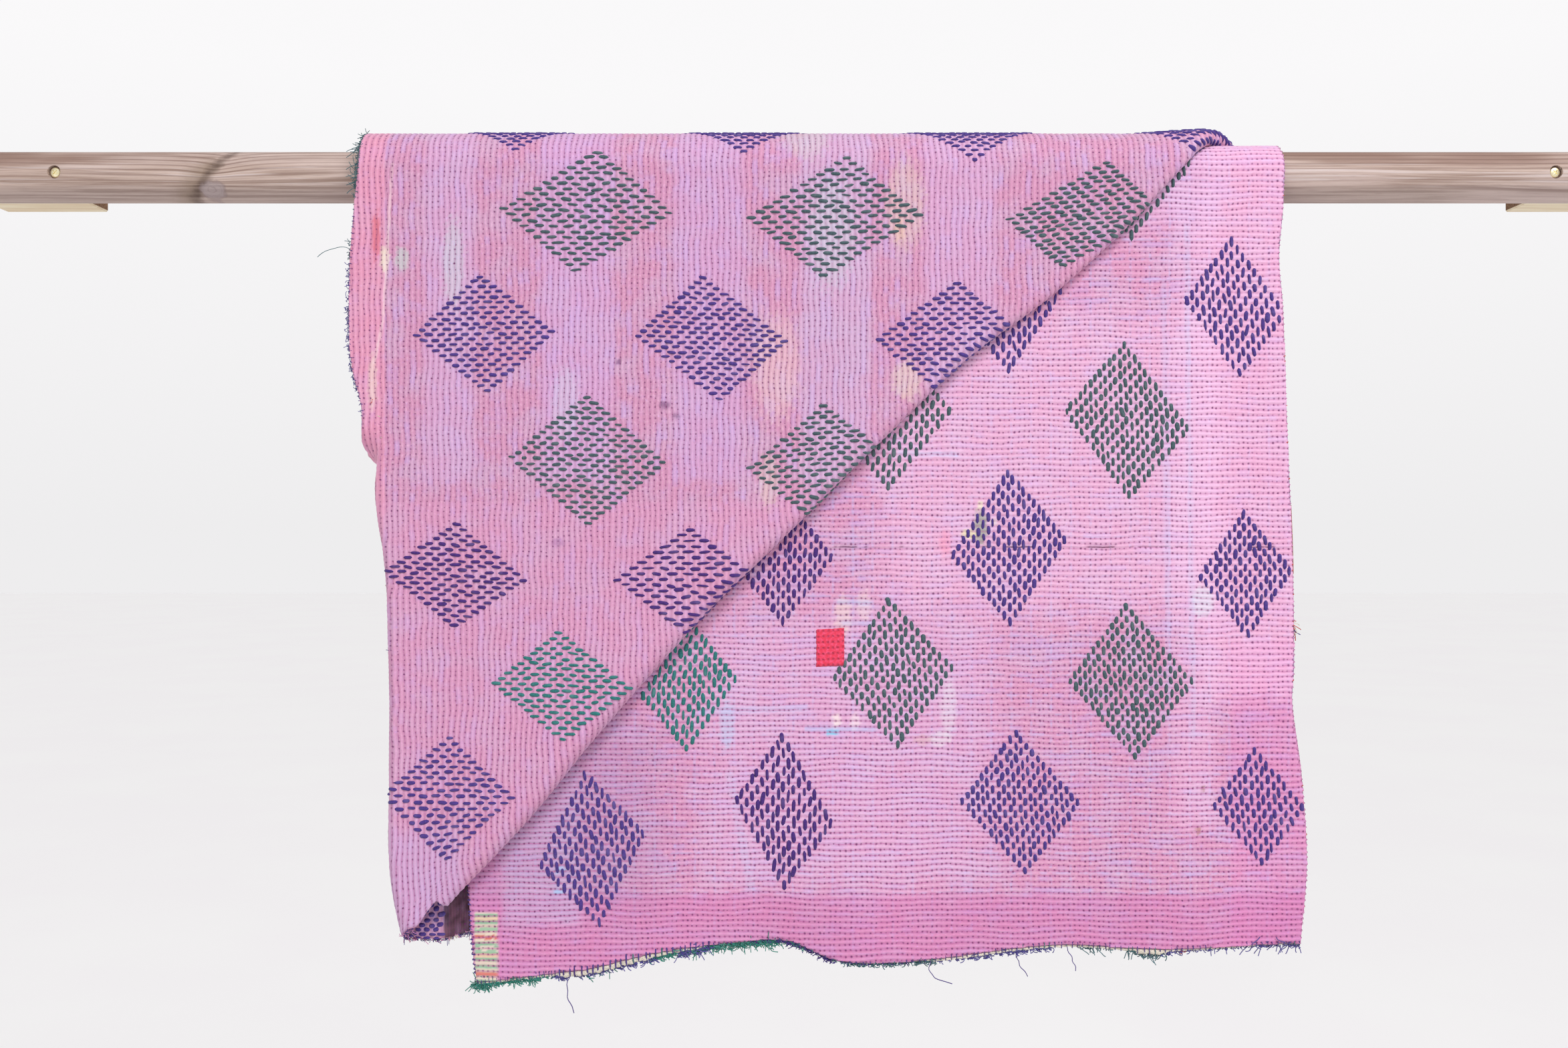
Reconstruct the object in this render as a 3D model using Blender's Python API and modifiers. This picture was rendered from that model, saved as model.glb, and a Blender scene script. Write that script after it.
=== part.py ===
"""Kantha quilt hung doubled over a wooden wall rail.

One quilted cloth, folded in half crosswise, hangs over a round-fronted rail with both ends in
front and the crosswise fold behind. The outer half's lower right corner is thrown up over the
rail, so that a diagonal roll crosses the front and the flap's end margin tucks round behind.

Frame: X along the rail from the left screw, +Y into the wall, +Z up. The origin is on the left
block's back face, which stands on the wall, straight behind the screw.
"""

import math

import bmesh
import bpy
from mathutils import Matrix, Vector

# Rail, blocks and screws, in metres
RAIL_RADIUS = 0.027
RAIL_FLAT = 0.019  # from the rail's axis to its flat back
RAIL_ENDS = (-0.126, 1.732)
RAIL_SIDES = 48
RAIL_CHAMFER = 0.0012
BLOCK_LENGTH = 0.114
BLOCK_REACH = {"left": 0.0135, "right": 0.0070}  # how far each runs inwards past its screw
BLOCK_HEIGHT = 0.045
BLOCK_CHAMFER = 0.0015
WALL_TO_AXIS = 0.065
SCREW_SPACING = 1.600
SCREW_HEAD_RADIUS = 0.0055
SCREW_HEAD_HEIGHT = 0.0037
SCREW_DOME = 0.0008
SHANK_RADIUS = 0.0025
SHANK_LENGTH = 0.062
SHANK_POINT = 0.008  # length of the tapered tip
SCREW_SIDES = 24
RECESS_RADIUS = 0.0070  # counterbore round the screw's head
RECESS_DEPTH = 0.0062
RECESS_SIDES = 28
CROSS_BAR = (0.0055, 0.0011, 0.0016)  # length, width and depth of each bar of the cross slot
HOLE_SIDES = 16
HOLE_END = 0.002  # depth of the block's hole beyond the screw's tip
CUTTER_RUN = 0.010  # how far a cutter starts in front of what it cuts
RAIL_CUTTER = 0.080
FIT = 0.0003  # gap between pieces that touch

# Cloth, in metres
CLOTH = 0.0042
INNER = RAIL_RADIUS + CLOTH / 2 + 0.0005  # each layer's middle, measured from the rail's axis
LAYER_STEP = 0.0065
OUTER = INNER + LAYER_STEP
FLAP = OUTER + LAYER_STEP
WRAP_RADIUS = 0.036  # lengths over the rail are reckoned at this radius
HALF_TURN = math.pi * WRAP_RADIUS
BACK_DROP = 0.150  # from the rail's axis down to the crosswise fold
BACK_SLANT = 0.014  # how much lower the crosswise fold lies at the right
BULB = 0.006  # how far the layers part at the crosswise fold
INNER_FOOT = -0.840  # level near which the inner half ends
END_BLEND = 1 / 3  # share of the inner half over which its end's slants even out
OUTER_FOOT = -0.770  # level at which the outer half's hanging part ends
SETTLE_RUN = 0.040  # the flap settles on the cloth behind over this run,
SETTLE_BY_RADIUS = 8  # and this many times its roll's radius more
FLAT_TAIL = 0.020  # last stretch of the flap's rows where they aren't tucked
FRAY_FOOT = -0.220  # the flap's end is a frayed band down to this level
TUCK_TOP = -0.270  # the flap's margin starts to turn behind below this level
TUCK_DEEP = -0.360  # and is turned right round from here down
FLAP_DROOP = 0.029  # the flap's lower tip hangs below its roll
FLAP_DROOP_TOP = -0.640
TAIL_DROOP = 0.009
TAIL_DROOP_RUN = 0.020
TAIL_BEHIND = 0.0075  # the tucked tail's inner part lies this much further back,
TAIL_BEHIND_FROM = 0.411  # from this place on,
TAIL_BEHIND_RUN = 0.024  # reached over this run
BAND = 0.005  # frayed band at each end, a piece of its own
RIPPLE = 0.0065
RIPPLE_TOP = -0.560
RIPPLE_SPAN = 0.300
RIPPLE_WAVES = ((0.300, 0.790, 0.6), (0.185, 0.610, 0.4))  # wavelength, place, share

# Rows of the cloth: inner front, over the rail, inner back, crosswise fold, outer back,
# over the rail, outer front
SECTION_ROWS = (16, 12, 3, 6, 3, 12, 14)
FOLD_SECTION = 5  # the diagonal roll begins with this section
COLUMNS = 16
ROLL_COLUMNS = 8
FLAP_COLUMNS = 12
TAIL_COLUMNS = 8
WELD = 0.00002
NEAR = 0.001  # levels closer than this count as the same

# Level, left edge and right edge of the inner half, in millimetres
INNER_EDGES = (
    (0, 425, 1309),
    (-43, 426, 1307),
    (-93, 427, 1303),
    (-143, 428, 1307),
    (-284, 431, 1312),
    (-400, 433, 1317),
    (-525, 436, 1319),
    (-567, 437, 1317),
    (-658, 439, 1329),
    (-741, 441, 1334),
    (-822, 446, 1328),
    (-862, 451, 1326),
)
# Place along the inner half's bottom end, and its level, in millimetres
INNER_END = (
    (451, -862),
    (522, -853),
    (571, -847),
    (611, -837),
    (653, -828),
    (736, -820),
    (782, -818),
    (831, -836),
    (887, -840),
    (954, -836),
    (1023, -826),
    (1079, -822),
    (1145, -825),
    (1243, -824),
    (1328, -822),
)
# Level and left edge of the outer half, in millimetres
OUTER_EDGE = ((263, 420), (113, 416), (0, 410), (-200, 404), (-500, 397), (-700, 393), (-770, 391))
# Level, outermost line and radius of the diagonal roll, in millimetres
ROLL = (
    (113, 1309, 4.0),
    (57, 1251, 5.4),
    (0, 1192, 4.2),
    (-58, 1139, 4.0),
    (-134, 1055, 4.5),
    (-196, 972, 5.5),
    (-287, 876, 7.0),
    (-386, 776, 9.0),
    (-464, 696, 11.0),
    (-542, 625, 13.0),
    (-608, 568, 13.5),
    (-674, 515, 12.5),
    (-728, 465, 10.5),
    (-756, 438, 9.0),
    (-785, 412, 7.5),
)
# Level, left edge and length of the tail that turns behind the flap, in millimetres
FLAP_EDGE = (
    (113, 333, 20),
    (57, 329, 20),
    (0, 329, 20),
    (-41, 325, 20),
    (-115, 320, 20),
    (-206, 322, 20),
    (-255, 335, 22),
    (-313, 343, 34),
    (-354, 349, 46),
    (-420, 359, 58),
    (-486, 362, 66),
    (-568, 364, 74),
    (-651, 363, 82),
    (-715, 364, 88),
    (-770, 377, 92),
)

# Sewn-on patch: middle, size and thickness
PATCH_MIDDLE = (0.8265, -0.5060)
PATCH_SIZE = (0.031, 0.040)
PATCH_THICKNESS = 0.0010
PATCH_STEPS = (4, 5)

# Frayed ends: strands of each span, their thickness and their shortest and longest reach
FRAY_THICKNESS = 0.0034
STRAND = 0.0013
STRAND_TAPER = 0.8  # a strand's depth at its root, as a share of the strip's
STRAND_LEAN = 0.5  # most sideways drift, as a share of a strand's length
FACING = 0.7  # least cosine between a strand's way and the strip's outer faces
INNER_STRANDS = 6
INNER_REACH = (0.004, 0.026)
FLAP_STRANDS = 9
FLAP_RAIL_STRANDS = 2
FLAP_REACH = (0.004, 0.020)

MM = 0.001
ROOT2 = math.sqrt(2)


def mix(low, high, share):
    return low + (high - low) * share


def smooth(share):
    """Ease from 0 to 1, flat at both ends."""
    share = min(max(share, 0.0), 1.0)
    return share * share * (3 - 2 * share)


def read(rows, at, column=1):
    """Value in a table of millimetre rows at a place in metres, on a smooth curve."""
    places = [row[0] for row in rows]
    if places[0] > places[-1]:
        rows = rows[::-1]
        places = places[::-1]
    values = [row[column] for row in rows]
    at = min(max(at / MM, places[0]), places[-1])
    last = len(rows) - 1
    slot = next(i for i in range(last) if at <= places[i + 1])

    def slope(i):
        low, high = max(i - 1, 0), min(i + 1, last)
        return (values[high] - values[low]) / (places[high] - places[low])

    span = places[slot + 1] - places[slot]
    share = (at - places[slot]) / span
    square, cube = share ** 2, share ** 3
    value = (
        (2 * cube - 3 * square + 1) * values[slot]
        + (cube - 2 * square + share) * span * slope(slot)
        + (3 * square - 2 * cube) * values[slot + 1]
        + (cube - square) * span * slope(slot + 1)
    )
    return value * MM


def ripple(x, level):
    """How far the hanging cloth waves towards the room, the same for every layer."""
    rise = RIPPLE * smooth((RIPPLE_TOP - level) / RIPPLE_SPAN)
    waves = (share * math.sin(2 * math.pi * (x - place) / length)
             for length, place, share in RIPPLE_WAVES)
    return rise * sum(waves)


def wrap(x, level, offset):
    """A point of the cloth: below 0 it hangs in front, then goes over the rail and down."""
    if level <= 0:
        return Vector((x, -WALL_TO_AXIS - offset - ripple(x, level), level))
    if level <= HALF_TURN:
        turn = level / WRAP_RADIUS
        return Vector((x, -WALL_TO_AXIS - offset * math.cos(turn), offset * math.sin(turn)))
    return Vector((x, -WALL_TO_AXIS + offset, HALF_TURN - level))


def fold_level(u):
    """Length along the cloth at which the crosswise fold lies, behind the rail."""
    return HALF_TURN + BACK_DROP + BACK_SLANT * (u - 0.5)


def parting(level):
    """How far the two layers lie apart behind the rail."""
    return BULB * smooth((level - HALF_TURN) / BACK_DROP)


def inner_x(u, level):
    """Place across the inner half, from its left edge to its right edge."""
    level = min(level, 0)
    return mix(read(INNER_EDGES, level, 1), read(INNER_EDGES, level, 2), u)


def inner_end(u):
    """Point at the bottom of the inner half, above its frayed band."""
    level = read(INNER_END, inner_x(u, INNER_FOOT))
    return inner_x(u, level), level + BAND + FIT


def roll_at(level):
    """Radius of the roll, and its outermost point, for the row at this level."""
    radius = read(ROLL, level, 2)
    foot = level - radius / ROOT2
    return radius, read(ROLL, foot, 1), foot


def outer_x(u, level):
    """Place across the outer half, from its left edge to its right edge or the roll."""
    right = read(INNER_EDGES, 0, 2)
    if level <= HALF_TURN:
        radius, edge, _ = roll_at(level)
        right = edge - radius / ROOT2
    return mix(read(OUTER_EDGE, level), right, u)


def row_level(section, share):
    """Level of a row over the rail, or on the outer half's hanging part."""
    return HALF_TURN * (1 - share) if section == FOLD_SECTION else OUTER_FOOT * share


def body_point(u, section, share):
    """Point of the doubled body; u runs from the left edge to the right edge or the roll."""
    deep = fold_level(u)
    if section == 0:
        x_end, end = inner_end(u)
        level = mix(end, 0, share)
        return wrap(mix(x_end, inner_x(u, level), smooth(share / END_BLEND)), level, INNER)
    if section == 1:
        return wrap(inner_x(u, 0), HALF_TURN * share, INNER)
    if section == 2:
        level = mix(HALF_TURN, deep, share)
        return wrap(inner_x(u, 0), level, INNER - parting(level) / 2)
    if section == 3:
        turn = math.pi * share
        radius = (LAYER_STEP + BULB) / 2
        middle = INNER + LAYER_STEP / 2
        x = mix(inner_x(u, 0), outer_x(u, deep), share)
        return wrap(x, deep + radius * math.sin(turn), middle - radius * math.cos(turn))
    if section == 4:
        level = mix(deep, HALF_TURN, share)
        return wrap(outer_x(u, level), level, OUTER + parting(level) / 2)
    level = row_level(section, share)
    return wrap(outer_x(u, level), level, OUTER)


def roll_point(share, level):
    """Point round the diagonal roll, from the hanging part at its back to the flap in front."""
    radius, edge, foot = roll_at(level)
    turn = math.pi * share
    out = -radius * (1 - math.sin(turn)) / ROOT2
    return wrap(edge + out, foot - out, OUTER + radius * (1 - math.cos(turn)))


def flap_offset(gap, radius):
    """The flap stands off the hanging part by the roll's width, and settles away from it."""
    stand = 2 * radius - LAYER_STEP
    return FLAP + stand * (1 - smooth(gap / (SETTLE_RUN + SETTLE_BY_RADIUS * radius)))


def tuck(level):
    """How far the flap's margin is turned behind, from 0 to 1."""
    return smooth((TUCK_TOP - level) / (TUCK_TOP - TUCK_DEEP))


def flap_droop(level):
    """How far the flap's row hangs below where it leaves the roll."""
    return FLAP_DROOP * smooth((FLAP_DROOP_TOP - level) / (FLAP_DROOP_TOP - OUTER_FOOT))


def flap_row(level):
    """Where the flap's row leaves the roll, and where its margin begins and how it turns."""
    radius, edge, _ = roll_at(level)
    start = edge - radius / ROOT2
    end = read(FLAP_EDGE, level, 1)
    gap = start - end - FLAT_TAIL
    offset = flap_offset(gap, radius)
    turn_radius = (offset - INNER) / 2
    margin = end + mix(FLAT_TAIL, turn_radius, tuck(level))
    return start, gap, radius, margin, offset, turn_radius


def flap_point(share, level):
    """Point of the flap, from the roll to where its margin begins."""
    start, gap, radius, margin, _, _ = flap_row(level)
    droop = flap_droop(level) * smooth(share)
    return wrap(mix(start, margin, share), level - droop, flap_offset(gap * share, radius))


def tail_point(share, level):
    """Point of the flap's margin, which lies flat higher up and turns behind lower down."""
    _, _, _, margin, offset, turn_radius = flap_row(level)
    length = read(FLAP_EDGE, level, 2)
    if level > FRAY_FOOT - NEAR:
        length -= BAND + FIT
    run = length * share
    turn_end = math.pi * tuck(level)
    bent = min(run, turn_radius * turn_end)
    turn = bent / turn_radius
    depth = turn_radius * (1 - math.cos(turn)) + (run - bent) * math.sin(turn_end)
    x = margin - turn_radius * math.sin(turn) - (run - bent) * math.cos(turn_end)
    behind = TAIL_BEHIND * smooth((x - TAIL_BEHIND_FROM) / TAIL_BEHIND_RUN)
    droop = flap_droop(level)
    sag = TAIL_DROOP * (1 + math.sin(math.pi * share)) * smooth(run / TAIL_DROOP_RUN)
    droop += sag * droop / FLAP_DROOP
    return wrap(x, level - droop, offset - depth - behind)


def add_grid(mesh, columns, rows, place):
    """Add a grid of quads, and put each vertex where its column and row say."""
    made = bmesh.ops.create_grid(mesh, x_segments=columns, y_segments=rows, size=1)
    for vert in made["verts"]:
        column = round((vert.co.x + 1) / 2 * columns)
        row = round((vert.co.y + 1) / 2 * rows)
        vert.co = place(column, row)


def section_rows(first):
    """Section and share of each row from the given section on."""
    rows = [(section, step / count)
            for section, count in enumerate(SECTION_ROWS) if section >= first
            for step in range(count)]
    return rows + [(len(SECTION_ROWS) - 1, 1.0)]


def make_mesh_object(name, mesh, collection, material):
    data = bpy.data.meshes.new(name)
    mesh.to_mesh(data)
    mesh.free()
    data.materials.append(material)
    made = bpy.data.objects.new(name, data)
    collection.objects.link(made)
    return made


def thicken(made, thickness):
    """Give a sheet its thickness, half to each side."""
    solid = made.modifiers.new("Thickness", "SOLIDIFY")
    solid.thickness = thickness
    solid.offset = 0
    solid.use_even_offset = True


def make_quilt(collection, material):
    body = section_rows(0)
    folded = section_rows(FOLD_SECTION)
    mesh = bmesh.new()
    add_grid(mesh, COLUMNS, len(body) - 1,
             lambda column, row: body_point(column / COLUMNS, *body[row]))

    def beyond_roll(column, row):
        level = row_level(*folded[row])
        if column <= ROLL_COLUMNS:
            return roll_point(column / ROLL_COLUMNS, level)
        column -= ROLL_COLUMNS
        if column <= FLAP_COLUMNS:
            return flap_point(column / FLAP_COLUMNS, level)
        return tail_point((column - FLAP_COLUMNS) / TAIL_COLUMNS, level)

    add_grid(mesh, ROLL_COLUMNS + FLAP_COLUMNS + TAIL_COLUMNS, len(folded) - 1, beyond_roll)
    bmesh.ops.remove_doubles(mesh, verts=mesh.verts, dist=WELD)
    bmesh.ops.recalc_face_normals(mesh, faces=mesh.faces)
    made = make_mesh_object("quilt", mesh, collection, material)
    made.data.shade_smooth()
    thicken(made, CLOTH)
    return made


def make_patch(collection, material):
    offset = INNER + CLOTH / 2 + FIT + PATCH_THICKNESS / 2
    columns, rows = PATCH_STEPS

    def place(column, row):
        x = PATCH_MIDDLE[0] + PATCH_SIZE[0] * (column / columns - 0.5)
        level = PATCH_MIDDLE[1] + PATCH_SIZE[1] * (row / rows - 0.5)
        return wrap(x, level, offset)

    mesh = bmesh.new()
    add_grid(mesh, columns, rows, place)
    made = make_mesh_object("sewn_patch", mesh, collection, material)
    thicken(made, PATCH_THICKNESS)
    return made


def wobble(number, seed):
    """Even but irregular share from 0 to 1, the same on every run."""
    value = math.sin(number * 12.9898 + seed * 78.233) * 43758.5453
    return value - math.floor(value)


def make_fray(name, corners, ways, counts, reach, seed, collection, material):
    """Frayed band: a narrow strip along the cloth's end with a strand on each of its cells.

    corners are the points of the cloth's end, ways the directions that its strands take
    there, and counts the number of strands on each stretch between two corners.
    """
    stops = [(span, step / count) for span, count in enumerate(counts) for step in range(count)]
    stops.append((len(counts) - 1, 1.0))

    def place(column, row):
        span, part = stops[column]
        start = corners[span].lerp(corners[span + 1], part)
        way = ways[span].lerp(ways[span + 1], part).normalized()
        return start + way * (FIT + (BAND - 2 * FIT) * row)

    mesh = bmesh.new()
    add_grid(mesh, len(stops) - 1, 1, place)
    made = make_mesh_object(name, mesh, collection, material)
    thicken(made, FRAY_THICKNESS)
    view = bpy.context.evaluated_depsgraph_get()
    solid = bpy.data.meshes.new_from_object(made.evaluated_get(view))
    made.modifiers.clear()
    mesh = bmesh.new()
    mesh.from_mesh(solid)
    mesh.normal_update()
    tips = []
    for cell in range(len(stops) - 1):
        outer = (place(cell, 1) + place(cell + 1, 1)) / 2
        way = (outer - (place(cell, 0) + place(cell + 1, 0)) / 2).normalized()
        near = [face for face in mesh.faces if face.normal.dot(way) > FACING]
        face = min(near, key=lambda item: (item.calc_center_median() - outer).length)
        tips.append((cell, face, way))
    for cell, face, way in tips:
        bmesh.ops.inset_individual(mesh, faces=[face], thickness=STRAND / 2)
        centre = face.calc_center_median()
        across = (place(cell + 1, 1) - place(cell, 1)).normalized()
        for vert in face.verts:
            step = vert.co - centre
            along = across * step.dot(across)
            deep = (step - along) * STRAND_TAPER
            vert.co = centre + along * (STRAND / 2 / along.length) + deep
        long = mix(*reach, wobble(cell, seed) ** 2)
        lean = across * (wobble(cell, seed + 1) - 0.5) * long * STRAND_LEAN
        drawn = bmesh.ops.extrude_discrete_faces(mesh, faces=[face])["faces"][0]
        bmesh.ops.translate(mesh, verts=drawn.verts, vec=way * long + lean)
    mesh.to_mesh(made.data)
    mesh.free()
    bpy.data.meshes.remove(solid)
    return made


def make_inner_fray(collection, material):
    ends = [inner_end(step / COLUMNS) for step in range(COLUMNS + 1)]
    corners = [wrap(x, level, INNER) for x, level in ends]
    ways = [Vector((0, 0, -1))] * len(corners)
    counts = [INNER_STRANDS] * COLUMNS
    return make_fray("frayed_end_inner", corners, ways, counts, INNER_REACH, 3, collection,
                     material)


def make_flap_fray(collection, material):
    """Frayed end of the flap, from the top of the rail down to where the margin turns in."""
    rail_rows = SECTION_ROWS[FOLD_SECTION]
    front_rows = round(FRAY_FOOT / OUTER_FOOT * SECTION_ROWS[-1])
    levels = [HALF_TURN * (1 - step / rail_rows) for step in range(rail_rows // 2, rail_rows)]
    levels += [OUTER_FOOT * step / SECTION_ROWS[-1] for step in range(front_rows + 1)]
    corners = [tail_point(1, level) for level in levels]
    ways = [Vector((-1, 0, 0))] * len(corners)
    counts = [FLAP_RAIL_STRANDS if level > NEAR else FLAP_STRANDS for level in levels[:-1]]
    return make_fray("frayed_end_flap", corners, ways, counts, FLAP_REACH, 8, collection,
                     material)


def make_cutter(name, radius, length, sides, x, front, cutters):
    """Round cutter along Y that starts at the given depth."""
    mesh = bmesh.new()
    turn = Matrix.Translation((x, front + length / 2, 0)) @ Matrix.Rotation(math.pi / 2, 4, "X")
    bmesh.ops.create_cone(mesh, cap_ends=True, segments=sides, radius1=radius, radius2=radius,
                          depth=length, matrix=turn)
    data = bpy.data.meshes.new(name)
    mesh.to_mesh(data)
    mesh.free()
    made = bpy.data.objects.new(name, data)
    cutters.objects.link(made)
    made.hide_render = True
    made.display_type = "WIRE"
    return made


def cut(piece, cutter):
    hole = piece.modifiers.new("Cut " + cutter.name, "BOOLEAN")
    hole.operation = "DIFFERENCE"
    hole.solver = "EXACT"
    hole.object = cutter


def screw_places():
    return (("left", 0.0), ("right", SCREW_SPACING))


def make_rail(collection, cutters, material):
    """Round rail with a flat back, counterbored and drilled for its two screws."""
    low, high = RAIL_ENDS
    mesh = bmesh.new()
    turn = (Matrix.Translation(((low + high) / 2, -WALL_TO_AXIS, 0))
            @ Matrix.Rotation(math.pi / 2, 4, "Y"))
    bmesh.ops.create_cone(mesh, cap_ends=True, segments=RAIL_SIDES, radius1=RAIL_RADIUS,
                          radius2=RAIL_RADIUS, depth=high - low, matrix=turn)
    ends = [edge for edge in mesh.edges
            if abs(edge.verts[0].co.x - edge.verts[1].co.x) < NEAR]
    bmesh.ops.bevel(mesh, geom=ends, offset=RAIL_CHAMFER, segments=1, affect="EDGES")
    every = mesh.verts[:] + mesh.edges[:] + mesh.faces[:]
    bmesh.ops.bisect_plane(mesh, geom=every, clear_outer=True,
                           plane_co=(0, RAIL_FLAT - WALL_TO_AXIS, 0), plane_no=(0, 1, 0))
    bmesh.ops.holes_fill(mesh, edges=[edge for edge in mesh.edges if edge.is_boundary])
    rail = make_mesh_object("rail", mesh, collection, material)
    front = -WALL_TO_AXIS - RAIL_RADIUS
    for side, x in screw_places():
        bore = make_cutter("recess_" + side, RECESS_RADIUS, RECESS_DEPTH + CUTTER_RUN,
                           RECESS_SIDES, x, front - CUTTER_RUN, cutters)
        hole = make_cutter("rail_hole_" + side, SHANK_RADIUS + FIT, RAIL_CUTTER, HOLE_SIDES, x,
                           front - CUTTER_RUN, cutters)
        cut(rail, bore)
        cut(rail, hole)
    return rail


def block_middle(side, x):
    """Where a block's middle is: it runs outwards from a little inside its screw."""
    inwards = 1 if side == "left" else -1
    return x + inwards * (BLOCK_REACH[side] - BLOCK_LENGTH / 2)


def make_block(side, x, collection, cutters, material):
    """Softwood block between the rail's flat back and the wall."""
    front = RAIL_FLAT - WALL_TO_AXIS + FIT
    middle = Vector((block_middle(side, x), front / 2, 0))
    mesh = bmesh.new()
    size = Matrix.Diagonal((BLOCK_LENGTH, -front, BLOCK_HEIGHT, 1))
    bmesh.ops.create_cube(mesh, size=1, matrix=Matrix.Translation(middle) @ size)
    bmesh.ops.bevel(mesh, geom=mesh.edges[:], offset=BLOCK_CHAMFER, segments=1, affect="EDGES")
    block = make_mesh_object("wall_block_" + side, mesh, collection, material)
    tip = -WALL_TO_AXIS - RAIL_RADIUS + RECESS_DEPTH - FIT + SHANK_LENGTH
    start = front - CUTTER_RUN
    hole = make_cutter("block_hole_" + side, SHANK_RADIUS + FIT, tip + HOLE_END - start,
                       HOLE_SIDES, x, start, cutters)
    cut(block, hole)
    return block


def make_screw(side, x, collection, cutters, material):
    """Brass screw: a low domed head with a cross slot, and a plain shank with a point."""
    head = SCREW_HEAD_RADIUS
    profile = (
        (0, SCREW_HEAD_HEIGHT),
        (head * 0.5, SCREW_HEAD_HEIGHT - SCREW_DOME * 0.25),
        (head * 0.85, SCREW_HEAD_HEIGHT - SCREW_DOME * 0.75),
        (head, SCREW_HEAD_HEIGHT - SCREW_DOME * 1.6),
        (head, 0),
        (SHANK_RADIUS, 0),
        (SHANK_RADIUS, -SHANK_LENGTH + SHANK_POINT),
        (0, -SHANK_LENGTH),
    )
    data = bpy.data.meshes.new("screw_" + side)
    edges = [(i, i + 1) for i in range(len(profile) - 1)]
    data.from_pydata([(radius, 0, height) for radius, height in profile], edges, [])
    data.materials.append(material)
    screw = bpy.data.objects.new("screw_" + side, data)
    collection.objects.link(screw)
    seat = -WALL_TO_AXIS - RAIL_RADIUS + RECESS_DEPTH - FIT
    screw.location = (x, seat, 0)
    screw.rotation_euler = (math.pi / 2, 0, 0)
    lathe = screw.modifiers.new("Turned", "SCREW")
    lathe.steps = SCREW_SIDES
    lathe.render_steps = SCREW_SIDES
    lathe.use_merge_vertices = True
    lathe.merge_threshold = WELD
    for name, turn in (("slot_a_", 45), ("slot_b_", 135)):
        mesh = bmesh.new()
        long, wide, deep = CROSS_BAR
        bmesh.ops.create_cube(mesh, size=1, matrix=Matrix.Diagonal((long, 2 * deep, wide, 1)))
        bar = bpy.data.meshes.new(name + side)
        mesh.to_mesh(bar)
        mesh.free()
        slot = bpy.data.objects.new(name + side, bar)
        cutters.objects.link(slot)
        slot.location = (x, seat - SCREW_HEAD_HEIGHT, 0)
        slot.rotation_euler = (0, math.radians(turn), 0)
        slot.hide_render = True
        slot.display_type = "WIRE"
        cut(screw, slot)
    return screw


def make_material(name, colour, roughness, metallic=0.0):
    material = bpy.data.materials.new(name)
    material.use_nodes = True
    shader = material.node_tree.nodes["Principled BSDF"]
    shader.inputs["Base Color"].default_value = (*colour, 1)
    shader.inputs["Roughness"].default_value = roughness
    shader.inputs["Metallic"].default_value = metallic
    material.diffuse_color = (*colour, 1)
    return material


def main():
    for old in list(bpy.data.objects):
        bpy.data.objects.remove(old, do_unlink=True)
    quilt_parts = bpy.data.collections.new("kantha_quilt_on_rail")
    cutters = bpy.data.collections.new("cutters")
    bpy.context.scene.collection.children.link(quilt_parts)
    bpy.context.scene.collection.children.link(cutters)

    pink = make_material("pink quilted cotton", (0.80, 0.37, 0.62), 0.9)
    thread = make_material("frayed cotton", (0.30, 0.20, 0.42), 0.9)
    red = make_material("red cotton patch", (0.72, 0.03, 0.08), 0.9)
    weathered = make_material("weathered softwood", (0.36, 0.26, 0.22), 0.6)
    pine = make_material("planed pine", (0.78, 0.66, 0.44), 0.6)
    brass = make_material("brass", (0.83, 0.66, 0.32), 0.35, 1.0)

    make_quilt(quilt_parts, pink)
    make_patch(quilt_parts, red)
    make_inner_fray(quilt_parts, thread)
    make_flap_fray(quilt_parts, thread)
    make_rail(quilt_parts, cutters, weathered)
    for side, x in screw_places():
        make_block(side, x, quilt_parts, cutters, pine)
        make_screw(side, x, quilt_parts, cutters, brass)


main()
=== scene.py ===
"""Looks of a kantha quilt hung doubled over a wooden wall rail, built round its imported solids.

The quilt is drawn as a closed sheet of wadding and lining on its solid's folds, with the
stitched top cloth laid over it, the bold stitches of its diamonds, its whipped and frayed ends
and a sewn-on patch. The rail, its blocks and screws keep their solids and get wood and brass.
"""

import math
from functools import partial

import bpy
import numpy as np
from bpy.props import FloatProperty, FloatVectorProperty, PointerProperty
from bpy.types import Operator, Panel, PropertyGroup
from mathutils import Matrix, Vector


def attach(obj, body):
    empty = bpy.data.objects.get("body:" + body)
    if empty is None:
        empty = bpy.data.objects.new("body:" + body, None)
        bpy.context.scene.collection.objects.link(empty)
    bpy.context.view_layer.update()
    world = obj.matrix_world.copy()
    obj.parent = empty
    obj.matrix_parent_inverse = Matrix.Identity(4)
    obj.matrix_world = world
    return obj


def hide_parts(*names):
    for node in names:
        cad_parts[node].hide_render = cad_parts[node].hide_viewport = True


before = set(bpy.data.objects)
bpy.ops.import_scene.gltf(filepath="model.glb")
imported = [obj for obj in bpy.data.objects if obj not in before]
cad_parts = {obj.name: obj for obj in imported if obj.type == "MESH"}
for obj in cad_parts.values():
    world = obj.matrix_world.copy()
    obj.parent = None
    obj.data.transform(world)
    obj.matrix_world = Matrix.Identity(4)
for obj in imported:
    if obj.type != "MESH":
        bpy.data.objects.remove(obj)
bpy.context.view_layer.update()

bl_info = {
    "name": "Kantha quilt on a rail",
    "version": (1, 0, 0),
    "blender": (4, 5, 0),
    "location": "View3D > Sidebar > Kantha",
    "description": "Builds a hand-stitched quilt draped over a wooden wall rail",
    "category": "Object",
}

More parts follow.
